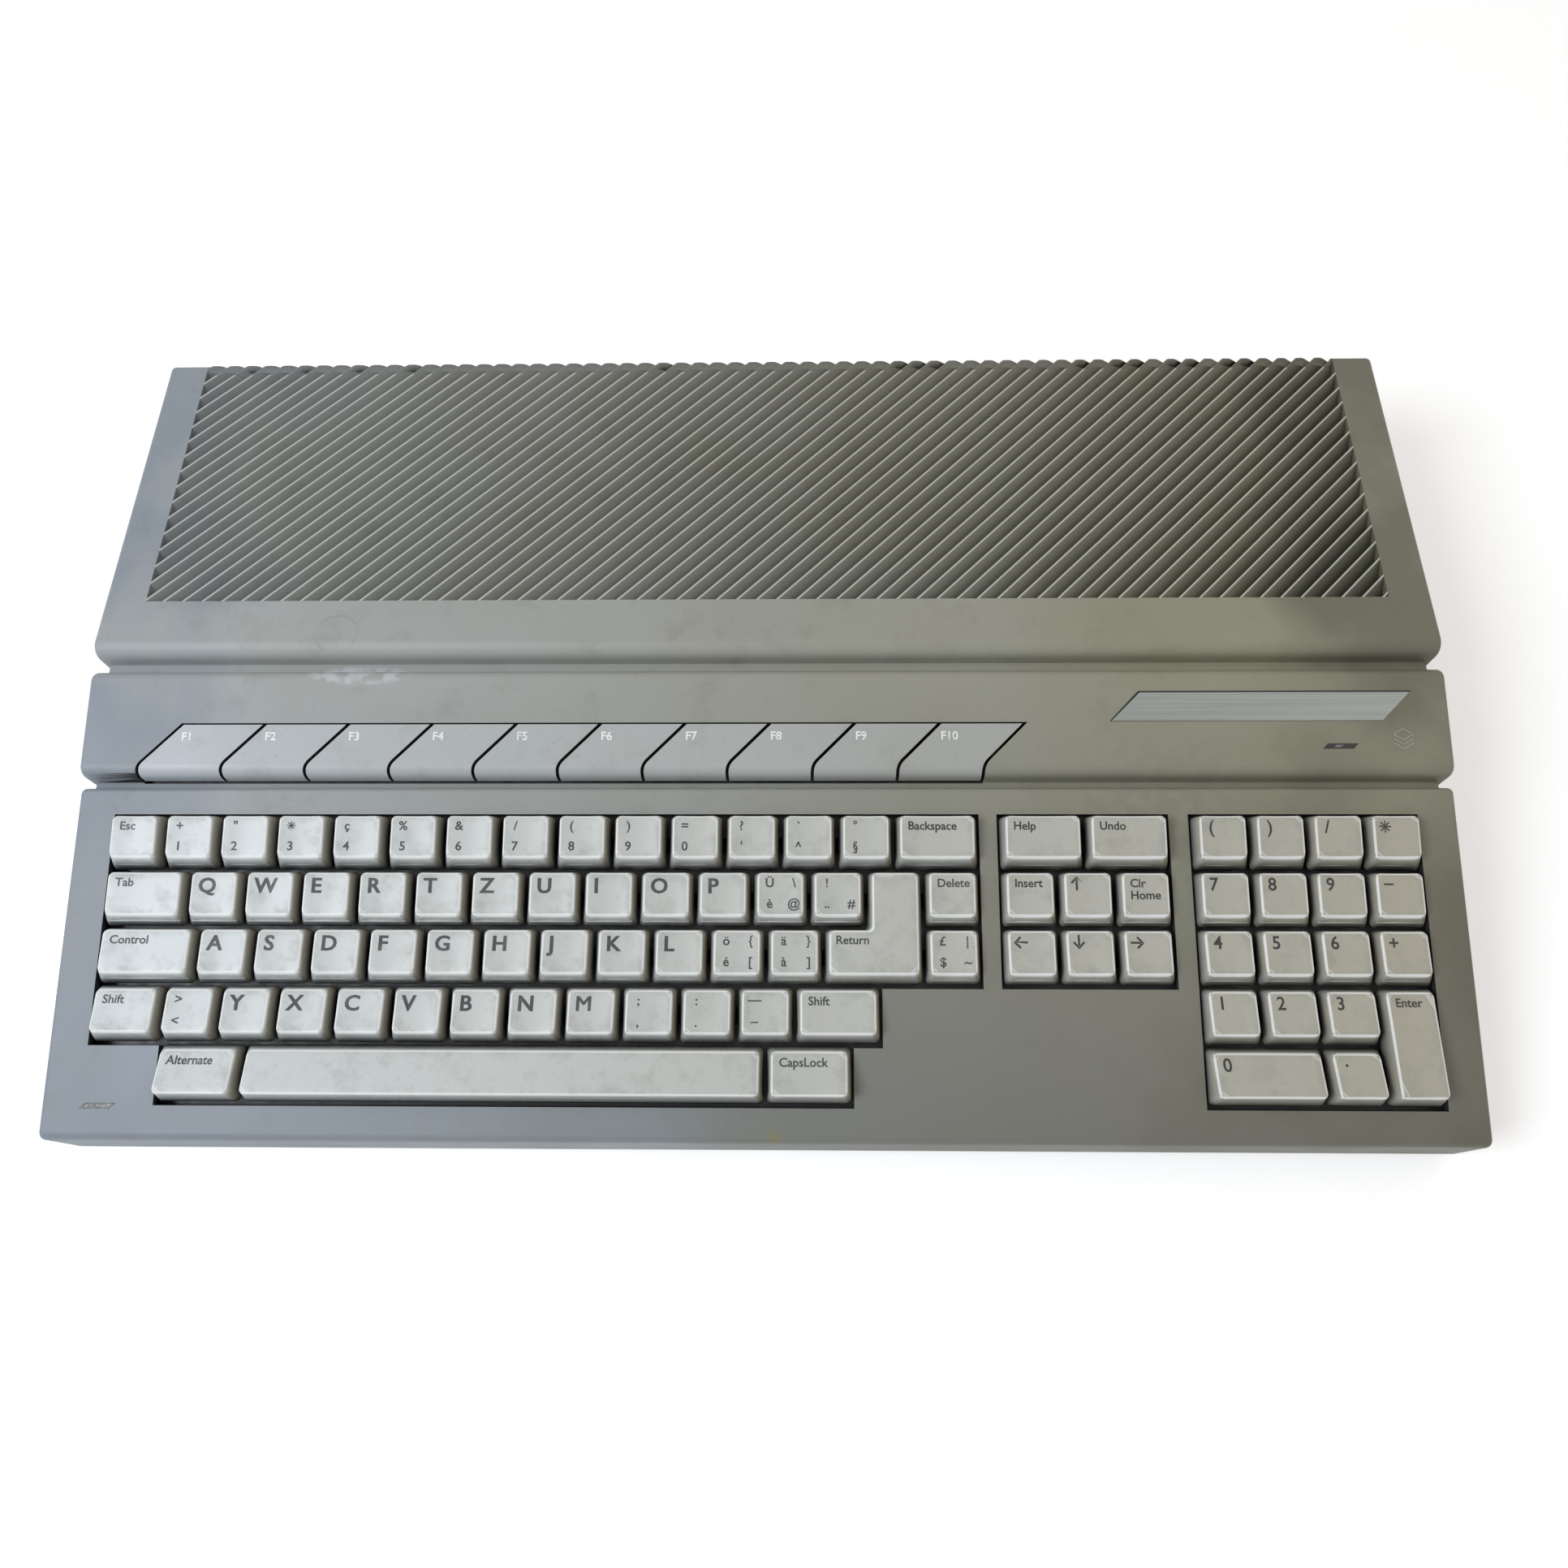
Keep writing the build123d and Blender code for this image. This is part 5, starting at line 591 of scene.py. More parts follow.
def label_surface(bm, edges, outline):
    """Writes height over the skirt, distance from the top's rim and reach to the right into the mesh."""
    height = bm.verts.layers.float.new("height")
    rim_distance = bm.verts.layers.float.new("rim_distance")
    right_side = bm.verts.layers.float.new("right_side")
    right = max(corner.x for corner in outline)
    for v in bm.verts:
        v[height] = (v.co.z - SKIRT_Z) / (top_height(0, v.co.y, 1, edges, 0) - SKIRT_Z)
        v[rim_distance] = rim_gap(v.co.xy, outline) / MM if v[height] > WALL_SHARE else OFF_THE_TOP
        v[right_side] = max(0, (v.co.x - right) / SIDE_INSET)


print("wall points are marked", OFF_THE_TOP, "under", WALL_SHARE, "of a key's height")


# %% One keycap
def keycap(row, units, rows):
    """A rectangular keycap around its own middle."""
    long_bar = units > LONG_BAR_UNITS
    half_w, half_d = (units * KEY_UNIT - KEY_GAP) / 2, (rows * KEY_UNIT - KEY_GAP) / 2
    half_top, edges = half_w - SIDE_INSET, top_edges(row, rows)
    (low_y, _), (high_y, _) = edges
    bm = grid_top(half_top, edges, 0 if long_bar else DISH)
    draw_walls(bm, lambda x, y: (x * half_w / half_top,
                                 (2 * y - low_y - high_y) / (high_y - low_y) * half_d))
    round_over(bm)
    hollow_out(bm, [(x, 0) for x in ((-BAR_STEM_REACH, 0, BAR_STEM_REACH) if long_bar else (0,))])
    label_surface(bm, edges, [Vector(corner) for corner in (
        (-half_top, low_y), (half_top, low_y), (half_top, high_y), (-half_top, high_y))])
    return bm


test_cap = keycap(3, 1, 1)
print("one keycap has", len(test_cap.faces), "faces, open edges:",
      sum(e.is_boundary for e in test_cap.edges))
test_cap.free()

# %% [markdown]
# ## Return key
# The Return key is an L: a broad foot in the home row and a narrow head behind it. Its top is one flat
# L. Two squares of grid would leave a seam, so it is one face, cut by a few planes afterwards: the
# cuts give it points inside, which can hold the distance from the rim.

# %% Return key
RETURN_LEFT, RETURN_STEP, RETURN_RIGHT = (MAIN_X + units * KEY_UNIT for units in (12.75, 13.5, 14.5))


def cut_top(bm, place, normal):
    """Cuts the faces of the top along a plane and keeps both sides."""
    top = [f for f in bm.faces if f.normal.z > LEVEL]
    edges = list(dict.fromkeys(e for f in top for e in f.edges))
    bmesh.ops.bisect_plane(bm, geom=top + edges, plane_co=place, plane_no=normal)


def return_keycap():
    """The L-shaped key, built flat around the corner of its step."""
    half = KEY_GAP / 2
    left, step, right = RETURN_LEFT, RETURN_STEP, RETURN_RIGHT
    front, middle, back = -2 * KEY_UNIT + half, -KEY_UNIT - half, -half
    skirt = [(left + half, front), (right - half, front), (right - half, back), (step + half, back),
             (step + half, middle), (left + half, middle)]
    rises = [FRONT_INSETS[2]] * 2 + [-BACK_INSETS[1]] * 2 + [-BACK_INSETS[2]] * 2
    outline = [Vector((x + side * SIDE_INSET, y + rise * MM))
               for (x, y), side, rise in zip(skirt, (1, -1, -1, 1, 1, 1), rises)]
    edges = [(y - KEY_UNIT, z) for y, z in top_edges(2, 2)]
    bm = bmesh.new()
    bm.faces.new([bm.verts.new((x, y, top_height(0, y, 1, edges, 0))) for x, y in outline])
    landing = {(round(x, 6), round(y, 6)): place for (x, y), place in zip(outline, skirt)}
    draw_walls(bm, lambda x, y: landing[round(x, 6), round(y, 6)])
    round_over(bm)
    for x in (left + KEY_UNIT / 4, step + half + 3 * MM, step + KEY_UNIT / 2, right - 5 * MM):
        cut_top(bm, (x, 0, 0), (1, 0, 0))
    for y in (front + 6 * MM, middle - 5 * MM, middle, middle + KEY_UNIT / 2):
        cut_top(bm, (0, y, 0), (0, 1, 0))
    hollow_out(bm, [((step + right) / 2, -KEY_UNIT)])
    label_surface(bm, edges, outline)
    return bm


print("Return key's foot is", round((RETURN_RIGHT - RETURN_LEFT) / KEY_UNIT, 2), "units wide")

# %% [markdown]
# ## The keyboard's plan
# Every row is written once: where it starts, how wide its keys are, and what is printed on each. Marks
# are separated by spaces: one letter is printed large, a word small, two marks stand one above the
# other, and four take the corners. An underscore stands for an empty corner.

# %% Rows, widths and marks
# For each node: left edge of the block, row from the back, first unit, width and depth in units, marks.
PLAN = {
    "number_row_keys": [(MAIN_X, 1, 0, 1, 1, ["Esc", "+ 1", "\" 2", "* 3", "ç 4", "% 5", "& 6", "/ 7",
                                              "( 8", ") 9", "= 0", "? '", "` ^", "° §"])],
    "backspace_key": [(MAIN_X, 1, 14, 1.5, 1, ["Backspace"])],
    "tab_key": [(MAIN_X, 2, 0, 1.5, 1, ["Tab"])],
    "upper_letter_keys": [(MAIN_X, 2, 1.5, 1, 1, list("QWERTZUIOP") + ["Ü è \\ @", "! .. _ #"]),
                          (MAIN_X, 2, 14.5, 1, 1, ["Delete"])],
    "control_key": [(MAIN_X, 3, 0, 1.75, 1, ["Control"])],
    "home_row_keys": [(MAIN_X, 3, 1.75, 1, 1, list("ASDFGHJKL") + ["ö é { [", "ä à } ]"]),
                      (MAIN_X, 3, 14.5, 1, 1, ["£ $ | ~"])],
    "left_shift_key": [(MAIN_X, 4, 0, 1.25, 1, ["Shift"])],
    "lower_letter_keys": [(MAIN_X, 4, 1.25, 1, 1, ["> <"] + list("YXCVBNM") + ["; ,", ": .", "— –"])],
    "right_shift_key": [(MAIN_X, 4, 12.25, 1.5, 1, ["Shift"])],
    "alternate_key": [(MAIN_X, 5, 1.25, 1.5, 1, ["Alternate"])],
    "space_bar": [(MAIN_X, 5, 2.75, 9, 1, [""])],
    "caps_lock_key": [(MAIN_X, 5, 11.75, 1.5, 1, ["CapsLock"])],
    "help_key": [(CURSOR_X, 1, 0, 1.5, 1, ["Help"])],
    "undo_key": [(CURSOR_X, 1, 1.5, 1.5, 1, ["Undo"])],
    "cursor_keys": [(CURSOR_X, 2, 0, 1, 1, ["Insert", "↑", "Clr\nHome"]),
                    (CURSOR_X, 3, 0, 1, 1, ["←", "↓", "→"])],
    "keypad_sign_keys": [(NUMBER_X, 1, 0, 1, 1, ["(", ")", "/", "*"]), (NUMBER_X, 2, 3, 1, 1, ["–"]),
                         (NUMBER_X, 3, 3, 1, 1, ["+"])],
    "keypad_digit_keys": [(NUMBER_X, 2, 0, 1, 1, list("789")), (NUMBER_X, 3, 0, 1, 1, list("456")),
                          (NUMBER_X, 4, 0, 1, 1, list("123")), (NUMBER_X, 5, 2, 1, 1, ["·"])],
    "keypad_zero_key": [(NUMBER_X, 5, 0, 2, 1, ["0"])],
    "keypad_enter_key": [(NUMBER_X, 4, 3, 1, 2, ["Enter"])],
}


def key_places(node):
    """Middle, row, width and depth in units, and marks of every key of one node."""
    for block_x, row, first, units, rows, marks in PLAN[node]:
        for i, mark in enumerate(marks):
            x = block_x + (first + (i + 0.5) * units) * KEY_UNIT
            yield x, KEY_UNIT * (1.5 - row - (rows - 1) / 2), row, units, rows, mark


print("keys", sum(1 for node in PLAN for _ in key_places(node)) + 1)

# %% Build the keycaps
def add_moved(target, source_mesh, matrix):
    """Adds a mesh to a bmesh, moved by a matrix."""
    before = len(target.verts)
    target.from_mesh(source_mesh)
    target.verts.ensure_lookup_table()
    bmesh.ops.transform(target, matrix=matrix, verts=target.verts[before:])


cap_meshes = {}
for node in PLAN:
    group = bmesh.new()
    for x, y, *kind, _ in key_places(node):
        kind = tuple(kind)
        if kind not in cap_meshes:
            cap_meshes[kind] = to_mesh(keycap(*kind), "cap")
        add_moved(group, cap_meshes[kind], DECK @ Matrix.Translation((x, y, 0)))
    finish_piece(node + "_caps", group, key_plastic, body_of[node], [node])
for mesh in cap_meshes.values():
    bpy.data.meshes.remove(mesh)
return_cap = return_keycap()
bmesh.ops.transform(return_cap, matrix=DECK, verts=return_cap.verts)
finish_piece("return_key_cap", return_cap, key_plastic, body_of["return_key"], ["return_key"])
print("keycap pieces", len(PLAN) + 1)

# %% [markdown]
# ## Marks on the keys
# The marks are flat ink. Each starts as a text object, is turned into a mesh before it is placed,
# scaled by its measured capital height, and then laid onto the curved top point by point, so that it
# neither floats nor sinks. All marks of one node become one piece, which rides with the keys.

# %% Text to flat mesh
INK_LIFT = 0.06 * MM


def raw_text(words, weight):
    """A flat mesh of the words at the font's own size; weight thickens the strokes."""
    curve = bpy.data.curves.new("mark", "FONT")
    curve.body = words
    curve.resolution_u = 3
    curve.offset = weight
    holder = new_object("mark", curve)
    bpy.context.view_layer.update()
    mesh = bpy.data.meshes.new_from_object(holder.evaluated_get(bpy.context.evaluated_depsgraph_get()))
    bpy.data.objects.remove(holder)
    bpy.data.curves.remove(curve)
    return mesh


measured = raw_text("H", 0)
CAPITAL = max(v.co.y for v in measured.vertices)
bpy.data.meshes.remove(measured)


def flat_text(words, cap_height, weight):
    """The words as a flat mesh, from the baseline at the origin, with capitals of a given height."""
    mesh = raw_text(words, weight)
    mesh.transform(Matrix.Scale(cap_height / CAPITAL, 4))
    return mesh


print("capital height of the font at its own size:", round(CAPITAL, 3))

# %% Where each mark stands on its key
LETTER, WORD, PAIR, SIGN, FUNCTION_WORD = 4.8 * MM, 2.7 * MM, 2.9 * MM, 4.1 * MM, 2.8 * MM
# How much the strokes are thickened, at the font's own size.
LETTER_WEIGHT, WORD_WEIGHT, SIGN_WEIGHT = 0.02, 0.018, 0.016
# Letters are struck twice, this far to either side, as a thick outline would break their narrow angles.
# The M has the narrowest ones, so it isn't thickened at all and is struck further apart.
STRIKE, M_STRIKE = 0.09 * MM, 0.16 * MM
# Left and right places from the rims beside them, and how far marks fall from the back rim.
LEFT_MARK, RIGHT_MARK, LETTER_LEFT, WORD_LEFT = 3.9 * MM, 2.9 * MM, 2.2 * MM, 2.4 * MM
UPPER_FALL, LOWER_FALL, LETTER_FALL = 4.7 * MM, 11.6 * MM, 6.7 * MM
SIGN_FALL, WORD_FALL = 5.6 * MM, 4.6 * MM


def mark_places(marks, half_top):
    """Splits marks into words, height, weight, x, fall from the back rim, and whether x is a middle."""
    left, right = LEFT_MARK - half_top, half_top - RIGHT_MARK
    parts = marks.split(" ")
    if len(parts) > 1:
        corners = [(x, fall) for x in (left, right) for fall in (UPPER_FALL, LOWER_FALL)]
        return [(part, PAIR, WORD_WEIGHT, x, fall, True) for part, (x, fall) in zip(parts, corners)
                if part != "_"]
    if len(marks) == 1 and marks.isalpha():
        weight, strike = (0, M_STRIKE) if marks == "M" else (LETTER_WEIGHT, STRIKE)
        return [(marks, LETTER, weight, LETTER_LEFT - half_top + shift, LETTER_FALL, False)
                for shift in (-strike, strike)]
    if len(marks) == 1:
        return [(marks, SIGN, SIGN_WEIGHT, left, SIGN_FALL, True)]
    return [(marks, WORD, WORD_WEIGHT, WORD_LEFT - half_top, WORD_FALL, False)]


print("places of a letter's two strikes:",
      [round(place[3] / MM, 2) for place in mark_places("A", (KEY_UNIT - KEY_GAP) / 2 - SIDE_INSET)])


# %% Lay a mark on its key
def star(size):
    """The keypad's multiplication sign: four thin bars crossed to eight arms."""
    bm = bmesh.new()
    for turn in range(4):
        bar = Matrix.Translation((0, size / 2, 0)) @ Matrix.Rotation(turn * radians(45), 4, "Z")
        bmesh.ops.create_grid(bm, x_segments=1, y_segments=1, size=0.5,
                              matrix=bar @ Matrix.Diagonal((size, size / 9, 1, 1)))
    return to_mesh(bm, "star")


def lay_marks(target, marks, row, units, rows, place):
    """Lays the marks of one key onto its top and adds them to the piece."""
    half_top, edges = (units * KEY_UNIT - KEY_GAP) / 2 - SIDE_INSET, top_edges(row, rows)
    for words, size, weight, x, fall, centred in mark_places(marks, half_top):
        mesh = star(size) if words == "*" else flat_text(words, size, weight)
        y = edges[1][0] - fall
        if centred:
            xs, ys = [v.co.x for v in mesh.vertices], [v.co.y for v in mesh.vertices]
            x -= (min(xs) + max(xs)) / 2
            y += (size - max(ys) - min(ys)) / 2 if words in "+-–—·" else 0
        for v in mesh.vertices:
            px, py = v.co.x + x, v.co.y + y
            v.co = (px, py, top_height(px, py, half_top, edges) + INK_LIFT)
        add_moved(target, mesh, DECK @ place)
        bpy.data.meshes.remove(mesh)


test_star = star(SIGN)
print("a star has", len(test_star.polygons), "bars")
bpy.data.meshes.remove(test_star)


# %% Print the keys
for node in PLAN:
    if node == "space_bar":
        continue
    prints = bmesh.new()
    for x, y, row, units, rows, marks in key_places(node):
        lay_marks(prints, marks, row, units, rows, Matrix.Translation((x, y, 0)))
    ink = black_ink if node.startswith(("keypad", "cursor", "help", "undo", "backspace")) else dark_ink
    finish_piece(node + "_marks", prints, ink, body_of[node], smooth=False)

print("printed nodes", len(PLAN) - 1)


# %% Print the Return key and the function keys
def print_words(node, piece, words, size, weight, place, surface, ink):
    """Prints words on one key, from their left end; surface tells the height of its top at a y."""
    mesh = flat_text(words, size, weight)
    for v in mesh.vertices:
        x, y = v.co.x + place[0], v.co.y + place[1]
        v.co = (x, y, surface(y) + INK_LIFT)
    prints = bmesh.new()
    add_moved(prints, mesh, DECK)
    bpy.data.meshes.remove(mesh)
    finish_piece(piece, prints, ink, body_of[node], smooth=False)


RETURN_MARK = (RETURN_LEFT + 4 * MM, -KEY_UNIT - 5.5 * MM)
print_words("return_key", "return_key_marks", "Return", WORD, WORD_WEIGHT, RETURN_MARK,
            lambda y: top_height(0, y + KEY_UNIT, 1, top_edges(2, 2), 0), dark_ink)
FUNCTION_COUNT, FUNCTION_PITCH = 10, 29.1 * MM
FUNCTION_LEFT = -HALF_WIDTH + 35.2 * MM
FUNCTION_BACK = 50.946 * MM
FUNCTION_MARK_X, FUNCTION_MARK_Y = FUNCTION_LEFT - 0.2 * MM, FUNCTION_BACK - 6.1 * MM
for i in range(FUNCTION_COUNT):
    node, place = f"function_key_{i + 1}", (FUNCTION_MARK_X + i * FUNCTION_PITCH, FUNCTION_MARK_Y)
    print_words(node, node + "_mark", f"F{i + 1}", FUNCTION_WORD, LETTER_WEIGHT, place,
                lambda y: BAND_RISE, pale_ink)
print("printed function keys", FUNCTION_COUNT)

# %% [markdown]
# ## Finishes on the CAD nodes
# The remaining nodes keep their own shape. They come in as loose triangles, so a modifier with a small
# node group joins the doubles and shades every edge smooth but the sharp ones. A few faces then get a
# second finish, picked by their place or by how they face: the power lamp's window, and painted shade on
# the walls of the gaps around the keys.

# %% Smooth shading by angle
SHARP, JOIN_WITHIN = radians(28), 0.002 * MM
smooth_group = bpy.data.node_groups.new("joined_and_smooth_by_angle", "GeometryNodeTree")
smooth_group.interface.new_socket("Geometry", in_out="INPUT", socket_type="NodeSocketGeometry")
smooth_group.interface.new_socket("Geometry", in_out="OUTPUT", socket_type="NodeSocketGeometry")
start = add_node(smooth_group, "NodeGroupInput")
joined = add_node(smooth_group, "GeometryNodeMergeByDistance",
                  {"Geometry": start, "Distance": JOIN_WITHIN})
smoothed = add_node(smooth_group, "GeometryNodeSetShadeSmooth", {0: joined, 2: True}, domain="FACE")
edge_angle = add_node(smooth_group, "GeometryNodeInputMeshEdgeAngle")
is_sharp = add_node(smooth_group, "FunctionNodeCompare", {0: edge_angle, 1: SHARP},
                    operation="GREATER_THAN")
sharpened = add_node(smooth_group, "GeometryNodeSetShadeSmooth",
                     {0: smoothed, 1: is_sharp, 2: False}, domain="EDGE")
add_node(smooth_group, "NodeGroupOutput", {0: sharpened})
print("group nodes", len(smooth_group.nodes))


# %% One finish for each node
def dress(node, material):
    """Gives a CAD node its finish and its shading."""
    piece = nodes[node]
    piece.data.materials.clear()
    piece.data.materials.append(material)
    piece.modifiers.new("shading", "NODES").node_group = smooth_group


FINISHES = {
    case_plastic: ["top_case", "bottom_case", "disk_eject_button", "drive_faceplate", "reset_button"],
    key_grey_plastic: [f"function_key_{i + 1}" for i in range(FUNCTION_COUNT)],
    socket_plastic: ["keyboard_frame", "cartridge_connector", "power_inlet", "power_switch_housing",
                     "power_switch_rocker", "din_sockets", "disk_shutter"],
    rubber: ["rubber_feet", "dome_mat"],
    board: ["main_circuit_board", "keyboard_circuit_board", "power_supply_board"],
    epoxy: ["main_board_chips", "supply_components"],
    tinned_steel: ["main_shield", "supply_shield", "disk_drive_chassis", "drive_spindle"],
    zinc_steel: ["case_screws"],
    nickel_shell: ["rear_d_sockets", "controller_sockets"],
    brushed: ["name_plate"],
    dark_window: ["lamp_lenses"],
    lead_vinyl: ["internal_leads"],
}
for material, names in FINISHES.items():
    for name in names:
        dress(name, material)
print("dressed", sum(len(names) for names in FINISHES.values()), "CAD nodes")


# %% A second finish for some faces
WELL_FRONT, WELL_BACK, WELL_TOP = -4.2 * KEY_UNIT, 1.2 * KEY_UNIT, -0.4 * MM
CASE_SIDE = 8 * MM
SLOT_FRONT, SLOT_BACK, SLOT_TOP = FUNCTION_BACK - 24 * MM, FUNCTION_BACK + 1 * MM, BAND_RISE - 0.2 * MM
SLOT_LEFT = FUNCTION_LEFT - 24 * MM
SLOT_RIGHT = FUNCTION_LEFT + FUNCTION_COUNT * FUNCTION_PITCH + 2 * MM


def finish_faces(node, material, chosen):
    """Gives a second finish to those faces of a CAD node that a test on place and normal picks."""
    mesh = nodes[node].data
    mesh.materials.append(material)
    for face in mesh.polygons:
        if chosen(FLAT @ face.center, face.normal):
            face.material_index = 1


def on_key_side(p, n):
    """Whether a face of a function key looks into the gap beside, behind or below it."""
    return abs(n.x) > 0.3 or n.y > 0.5 or n.z < -0.5


def in_a_gap(p, n):
    """Whether a face of the top case lies in a well of the keycaps or in the function keys' slot."""
    in_well = WELL_FRONT < p.y < WELL_BACK and p.z < WELL_TOP and abs(p.x) < HALF_WIDTH - CASE_SIDE
    in_slot = SLOT_FRONT < p.y < SLOT_BACK and p.z < SLOT_TOP and SLOT_LEFT < p.x < SLOT_RIGHT
    return in_well or in_slot and (abs(n.x) > 0.3 or n.y < -0.8)


finish_faces("lamp_lenses", fluted_window_and_glints, lambda p, n: p.x < 0)
# Painted shade: faces of the top case in the keycaps' wells and in the function keys' slot, and the sides
# of the function keys, get the near-black gap finish.
finish_faces("top_case", gap_shade_and_dust, in_a_gap)
for i in range(FUNCTION_COUNT):
    finish_faces(f"function_key_{i + 1}", gap_shade_and_dust, on_key_side)
print("faces of the top case in painted shade", sum(f.material_index for f in nodes["top_case"].data.polygons))

# %% [markdown]
# ## Rounded ends of the ribs
# At the back every rib ends in a rounded nose, like a row of fingertips. Each is a saw-tooth prism: the
# hull of eight points, cut by the sides of the rib field and rounded over by planes around a quarter
# circle.

# %% Rib ends
# Pitch of the teeth, width of a ridge and of the steep side, and how many teeth the whole row has.
RIB_PITCH, RIB_RIDGE, RIB_STEEP, RIB_COUNT = 5.0 * MM, 0.55 * MM, 0.5 * MM, 95
# The teeth are counted from the middle of the row, which lies on this line.
RIB_MIDDLE_Y = FRONT_Y + 235.234 * MM
NOSE_LENGTH, NOSE_ROUND, NOSE_CUTS = 5.7 * MM, 1.7 * MM, 5
# A nose starts under the valleys and covers the ridge of the CAD case by a hair.
NOSE_SINK, COVER = 0.2 * MM, 0.02 * MM


def cut_away(bm, place, normal):
    """Cuts off the side that the normal points to and closes the cut."""
    cut = bmesh.ops.bisect_plane(bm, geom=bm.verts[:] + bm.edges[:] + bm.faces[:], plane_co=place,
                                 plane_no=normal, clear_outer=True)["geom_cut"]
    rim = [g for g in cut if isinstance(g, bmesh.types.BMEdge)]
    bmesh.ops.holes_fill(bm, edges=rim, sides=0)


def rib_nose(number):
    """The last stretch of one rib, with its rounded back."""
    bm = bmesh.new()
    low, high = TOP_Z - RIB_DEPTH - NOSE_SINK, TOP_Z + COVER
    for across, z in ((-RIB_STEEP, low), (0, high), (RIB_RIDGE, high), (RIB_PITCH - RIB_STEEP, low)):
        for y in (BACK_Y - NOSE_LENGTH, BACK_Y):
            x = sqrt(2) * ((number - RIB_COUNT / 2) * RIB_PITCH + across) + y - RIB_MIDDLE_Y
            bm.verts.new((x, y, z))
    bmesh.ops.convex_hull(bm, input=bm.verts)
    bmesh.ops.dissolve_limit(bm, angle_limit=radians(1), verts=bm.verts, edges=bm.edges)
    for side in (-1, 1):
        cut_away(bm, (side * RIB_HALF_WIDTH, 0, 0), (side, 0, 0))
    for angle in (radians(90 * (step + 1) / (NOSE_CUTS + 1)) for step in range(NOSE_CUTS)):
        out = Vector((0, sin(angle), cos(angle)))
        centre = Vector((0, BACK_Y - NOSE_ROUND, high - NOSE_ROUND))
        cut_away(bm, centre + out * NOSE_ROUND, out)
    return bm


noses = bmesh.new()
for number in range(RIB_COUNT):
    nose_mesh = to_mesh(rib_nose(number), "nose")
    add_moved(noses, nose_mesh, Matrix.Identity(4))
    bpy.data.meshes.remove(nose_mesh)
bmesh.ops.recalc_face_normals(noses, faces=noses.faces)
print("open edges of the rib ends", sum(len(e.link_faces) != 2 for e in noses.edges))
rib_ends = finish_piece("rib_ends", noses, rib_end_plastic, body_of["top_case"])
rib_ends.modifiers.new("shading", "NODES").node_group = smooth_group
print("rib ends", len(rib_ends.data.polygons), "faces")

# %% [markdown]
# ## Small things beside the keys
# The name plate is bare. It lies in a shallow recess, and a painted shadow along the back and left edges
# shows as a dark line. Each of the two lamps is a dark slanted slot with painted glints on it, and an
# embossed picture of a stack of disks, a plain sign for the drive, stands beside the drive's lamp. All
# of them are flat faces or thin bars laid on the slope.

# %% Painted shadow line around the name plate
TOUCH, LINE, LAYER = 0.01 * MM, 0.5 * MM, 0.03 * MM
plate_places = [FLAT @ v.co for v in nodes["name_plate"].data.vertices]
plate_top = max(p.z for p in plate_places)
plate_back, plate_front = max(p.y for p in plate_places), min(p.y for p in plate_places)
back_left = min(p.x for p in plate_places if p.y > plate_back - TOUCH)
back_right = max(p.x for p in plate_places if p.y > plate_back - TOUCH)
front_left = min(p.x for p in plate_places if p.y < plate_front + TOUCH)


def flat_faces(outlines, z):
    """Flat faces on the band, given by their corners in the deck's frame."""
    bm = bmesh.new()
    for outline in outlines:
        bm.faces.new([bm.verts.new(DECK @ Vector((x, y, z))) for x, y in outline])
    bmesh.ops.remove_doubles(bm, verts=bm.verts, dist=0.001 * MM)
    bmesh.ops.recalc_face_normals(bm, faces=bm.faces)
    return bm


# A painted shadow: a dark line along the back and left edges of the plate's recess.
plate_shadow_line = flat_faces([
    [(front_left - LINE, plate_front), (front_left, plate_front), (back_left, plate_back),
     (back_left - LINE, plate_back + LINE)],
    [(back_left - LINE, plate_back + LINE), (back_left, plate_back), (back_right, plate_back),
     (back_right + LINE, plate_back + LINE)]], max(plate_top, BAND_RISE) + LAYER)
finish_piece("name_plate_painted_shadow_line", plate_shadow_line, gap_shade_and_dust, body_of["top_case"], smooth=False)
print("plate", round((back_right - front_left) / MM, 1), "mm long")


# %% Slots and painted glints of the two lamps
def slanted(x, y, width, height):
    """The corners of a parallelogram that leans 45 degrees to the right, like both lamps."""
    return [(x + side * width / 2 + up * height / 2, y + up * height / 2)
            for side, up in ((-1, -1), (1, -1), (1, 1), (-1, 1))]


LAMP_WIDE, LAMP_TALL, GLINT_TALL, GLINT_PITCH = 10.4 * MM, 1.9 * MM, 0.9 * MM, 1.15 * MM
# Painted glints: seven pale bars stand for the lit flutes of the power lamp on the deck, and a single
# painted glint lies on the drive's lamp on the band.
for name, lamp_x, lamp_y, rise, bars, bar_width in (
        ("power_lamp", -216.1 * MM, -77.3 * MM, LAYER, range(-3, 4), 0.65 * MM),
        ("drive_lamp", 197.0 * MM, 42.35 * MM, BAND_RISE + LAYER, (-0.6,), 2.4 * MM)):
    slot = flat_faces([slanted(lamp_x, lamp_y, LAMP_WIDE, LAMP_TALL)], rise)
    finish_piece(name + "_slot", slot, dark_window, body_of["top_case"], smooth=False)
    painted_glints = flat_faces([slanted(lamp_x + GLINT_PITCH * bar, lamp_y, bar_width, GLINT_TALL)
                         for bar in bars], rise + LAYER)
    finish_piece(name + "_glints", painted_glints, fluted_window_and_glints, body_of["top_case"], smooth=False)
    print(name, "with", len(bars), "painted_glints")

# %% Sign of the drive
SIGN_X, SIGN_Y, SIGN_WIDE, SIGN_TALL = 218.2 * MM, 44.8 * MM, 3.3 * MM, 2.0 * MM
DISK_COUNT, DISK_FALL, TOP_DISK_RISE, STROKE = 3, 1.5 * MM, 1.6 * MM, 0.3 * MM


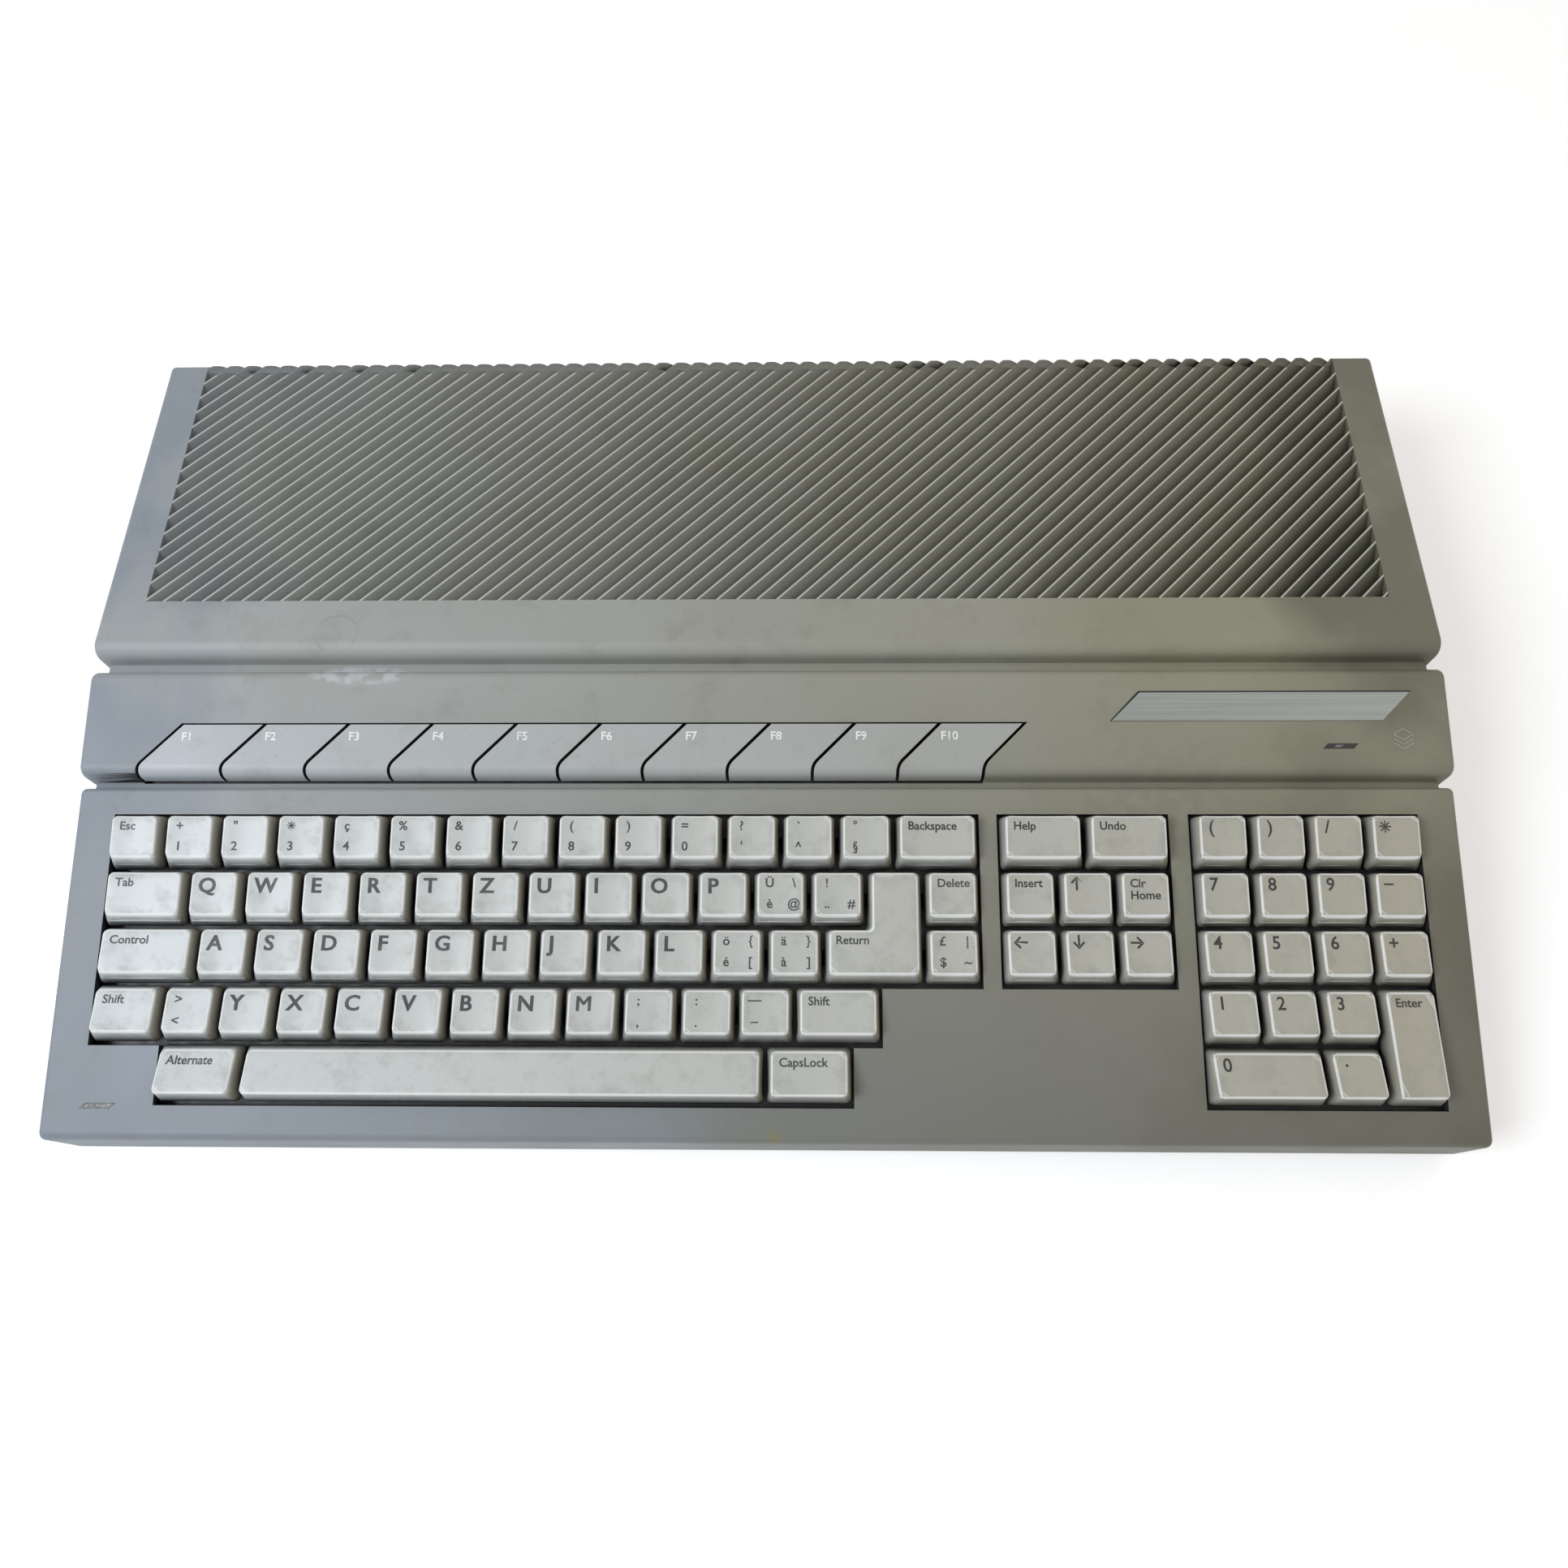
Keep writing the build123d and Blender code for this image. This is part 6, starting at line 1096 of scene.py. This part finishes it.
def stroke(bm, a, b):
    """A thin bar from one point of the band to another, half sunk into it."""
    run = Vector((b[0] - a[0], b[1] - a[1], 0))
    middle = Vector(((a[0] + b[0]) / 2, (a[1] + b[1]) / 2, BAND_RISE))
    place = Matrix.LocRotScale(middle, run.to_track_quat("X", "Z"), Vector((run.length, STROKE, STROKE)))
    bmesh.ops.create_cube(bm, size=1, matrix=DECK @ place)


sign = bmesh.new()
for layer in range(DISK_COUNT):
    middle_y = SIGN_Y + TOP_DISK_RISE - DISK_FALL * layer
    corners = [(SIGN_X - SIGN_WIDE, middle_y), (SIGN_X, middle_y - SIGN_TALL),
               (SIGN_X + SIGN_WIDE, middle_y), (SIGN_X, middle_y + SIGN_TALL)]
    sides = list(zip(corners, corners[1:] + corners[:1]))
    # Only the top disk shows all its sides. Of those below, the two front sides show.
    for a, b in sides if layer == 0 else sides[:2]:
        stroke(sign, a, b)
finish_piece("drive_sign", sign, key_grey_plastic, body_of["top_case"], smooth=False)
print("drive sign", DISK_COUNT, "disks")

# %% [markdown]
# ## Floor and light
# A pale floor takes the shadow. A soft lamp stands like a window in front on the left and lights the
# front walls and the left rims of the keys, while a weak warm one on the right softens the shadows, and
# the world fills the rest at a plain level. Rays from the camera, and those that gloss throws back, see
# white instead of the fill.

# %% Floor
FLOOR_HALF, FLOOR_GLOW = 4, 0.35


def straight_rays(tree):
    """1 for rays that come from the camera or off a glossy face, and the node that knows the rays."""
    rays = add_node(tree, "ShaderNodeLightPath")
    seen = add_node(tree, MATH, {0: rays.outputs["Is Camera Ray"], 1: rays.outputs["Is Glossy Ray"]},
                    operation="MAXIMUM")
    return seen, rays


floor_bm = bmesh.new()
bmesh.ops.create_grid(floor_bm, x_segments=1, y_segments=1, size=FLOOR_HALF)
floor_mesh = to_mesh(floor_bm, "floor")
floor = new_object("floor", floor_mesh)
# White paper: matt, and bright enough where the camera sees it to run into the white background.
floor_paper, floor_tree, floor_shader = start_material("white_paper_floor", Roughness=0.9)
floor_shader.inputs["Base Color"].default_value = colour("#f4f4f4")
floor_shader.inputs["Emission Color"].default_value = (1, 1, 1, 1)
glow = add_node(floor_tree, MATH, {0: straight_rays(floor_tree)[0], 1: FLOOR_GLOW}, operation="MULTIPLY")
floor_tree.links.new(glow.outputs[0], floor_shader.inputs["Emission Strength"])
floor_mesh.materials.append(floor_paper)
print("floor", 2 * FLOOR_HALF, "m wide")

# %% World
FILL = 0.42
world = bpy.data.worlds.new("studio")
world.use_nodes = True
scene.world = world
sky_tree = world.node_tree
sky = sky_tree.nodes["Background"]
direct, sky_rays = straight_rays(sky_tree)
through = add_node(sky_tree, MATH, {0: direct, 1: sky_rays.outputs["Is Transmission Ray"]},
                   operation="MAXIMUM")
fill = add_node(sky_tree, MAP_RANGE, {0: through, 3: FILL, 4: 1.0})
sky_tree.links.new(fill.outputs[0], sky.inputs["Strength"])
sky.inputs["Color"].default_value = (1, 1, 1, 1)
print("world fill", FILL)


# %% Lamps
LOOK_AT = Vector((0, 0, 30 * MM))


def soft_lamp(name, place, size, power, tint):
    """A square lamp that looks at the middle of the machine."""
    data = bpy.data.lights.new(name, "AREA")
    data.shape = "SQUARE"
    data.size = size
    data.energy = power
    data.color = colour(tint)[:3]
    lamp = new_object(name, data)
    lamp.location = place
    lamp.rotation_euler = (LOOK_AT - Vector(place)).to_track_quat("-Z", "Y").to_euler()


soft_lamp("window_lamp", (-1.0, -0.42, 1.15), 0.6, 14, "#f3f8ff")
soft_lamp("room_lamp", (1.1, 0.3, 1.1), 1.2, 3, "#ffeed6")
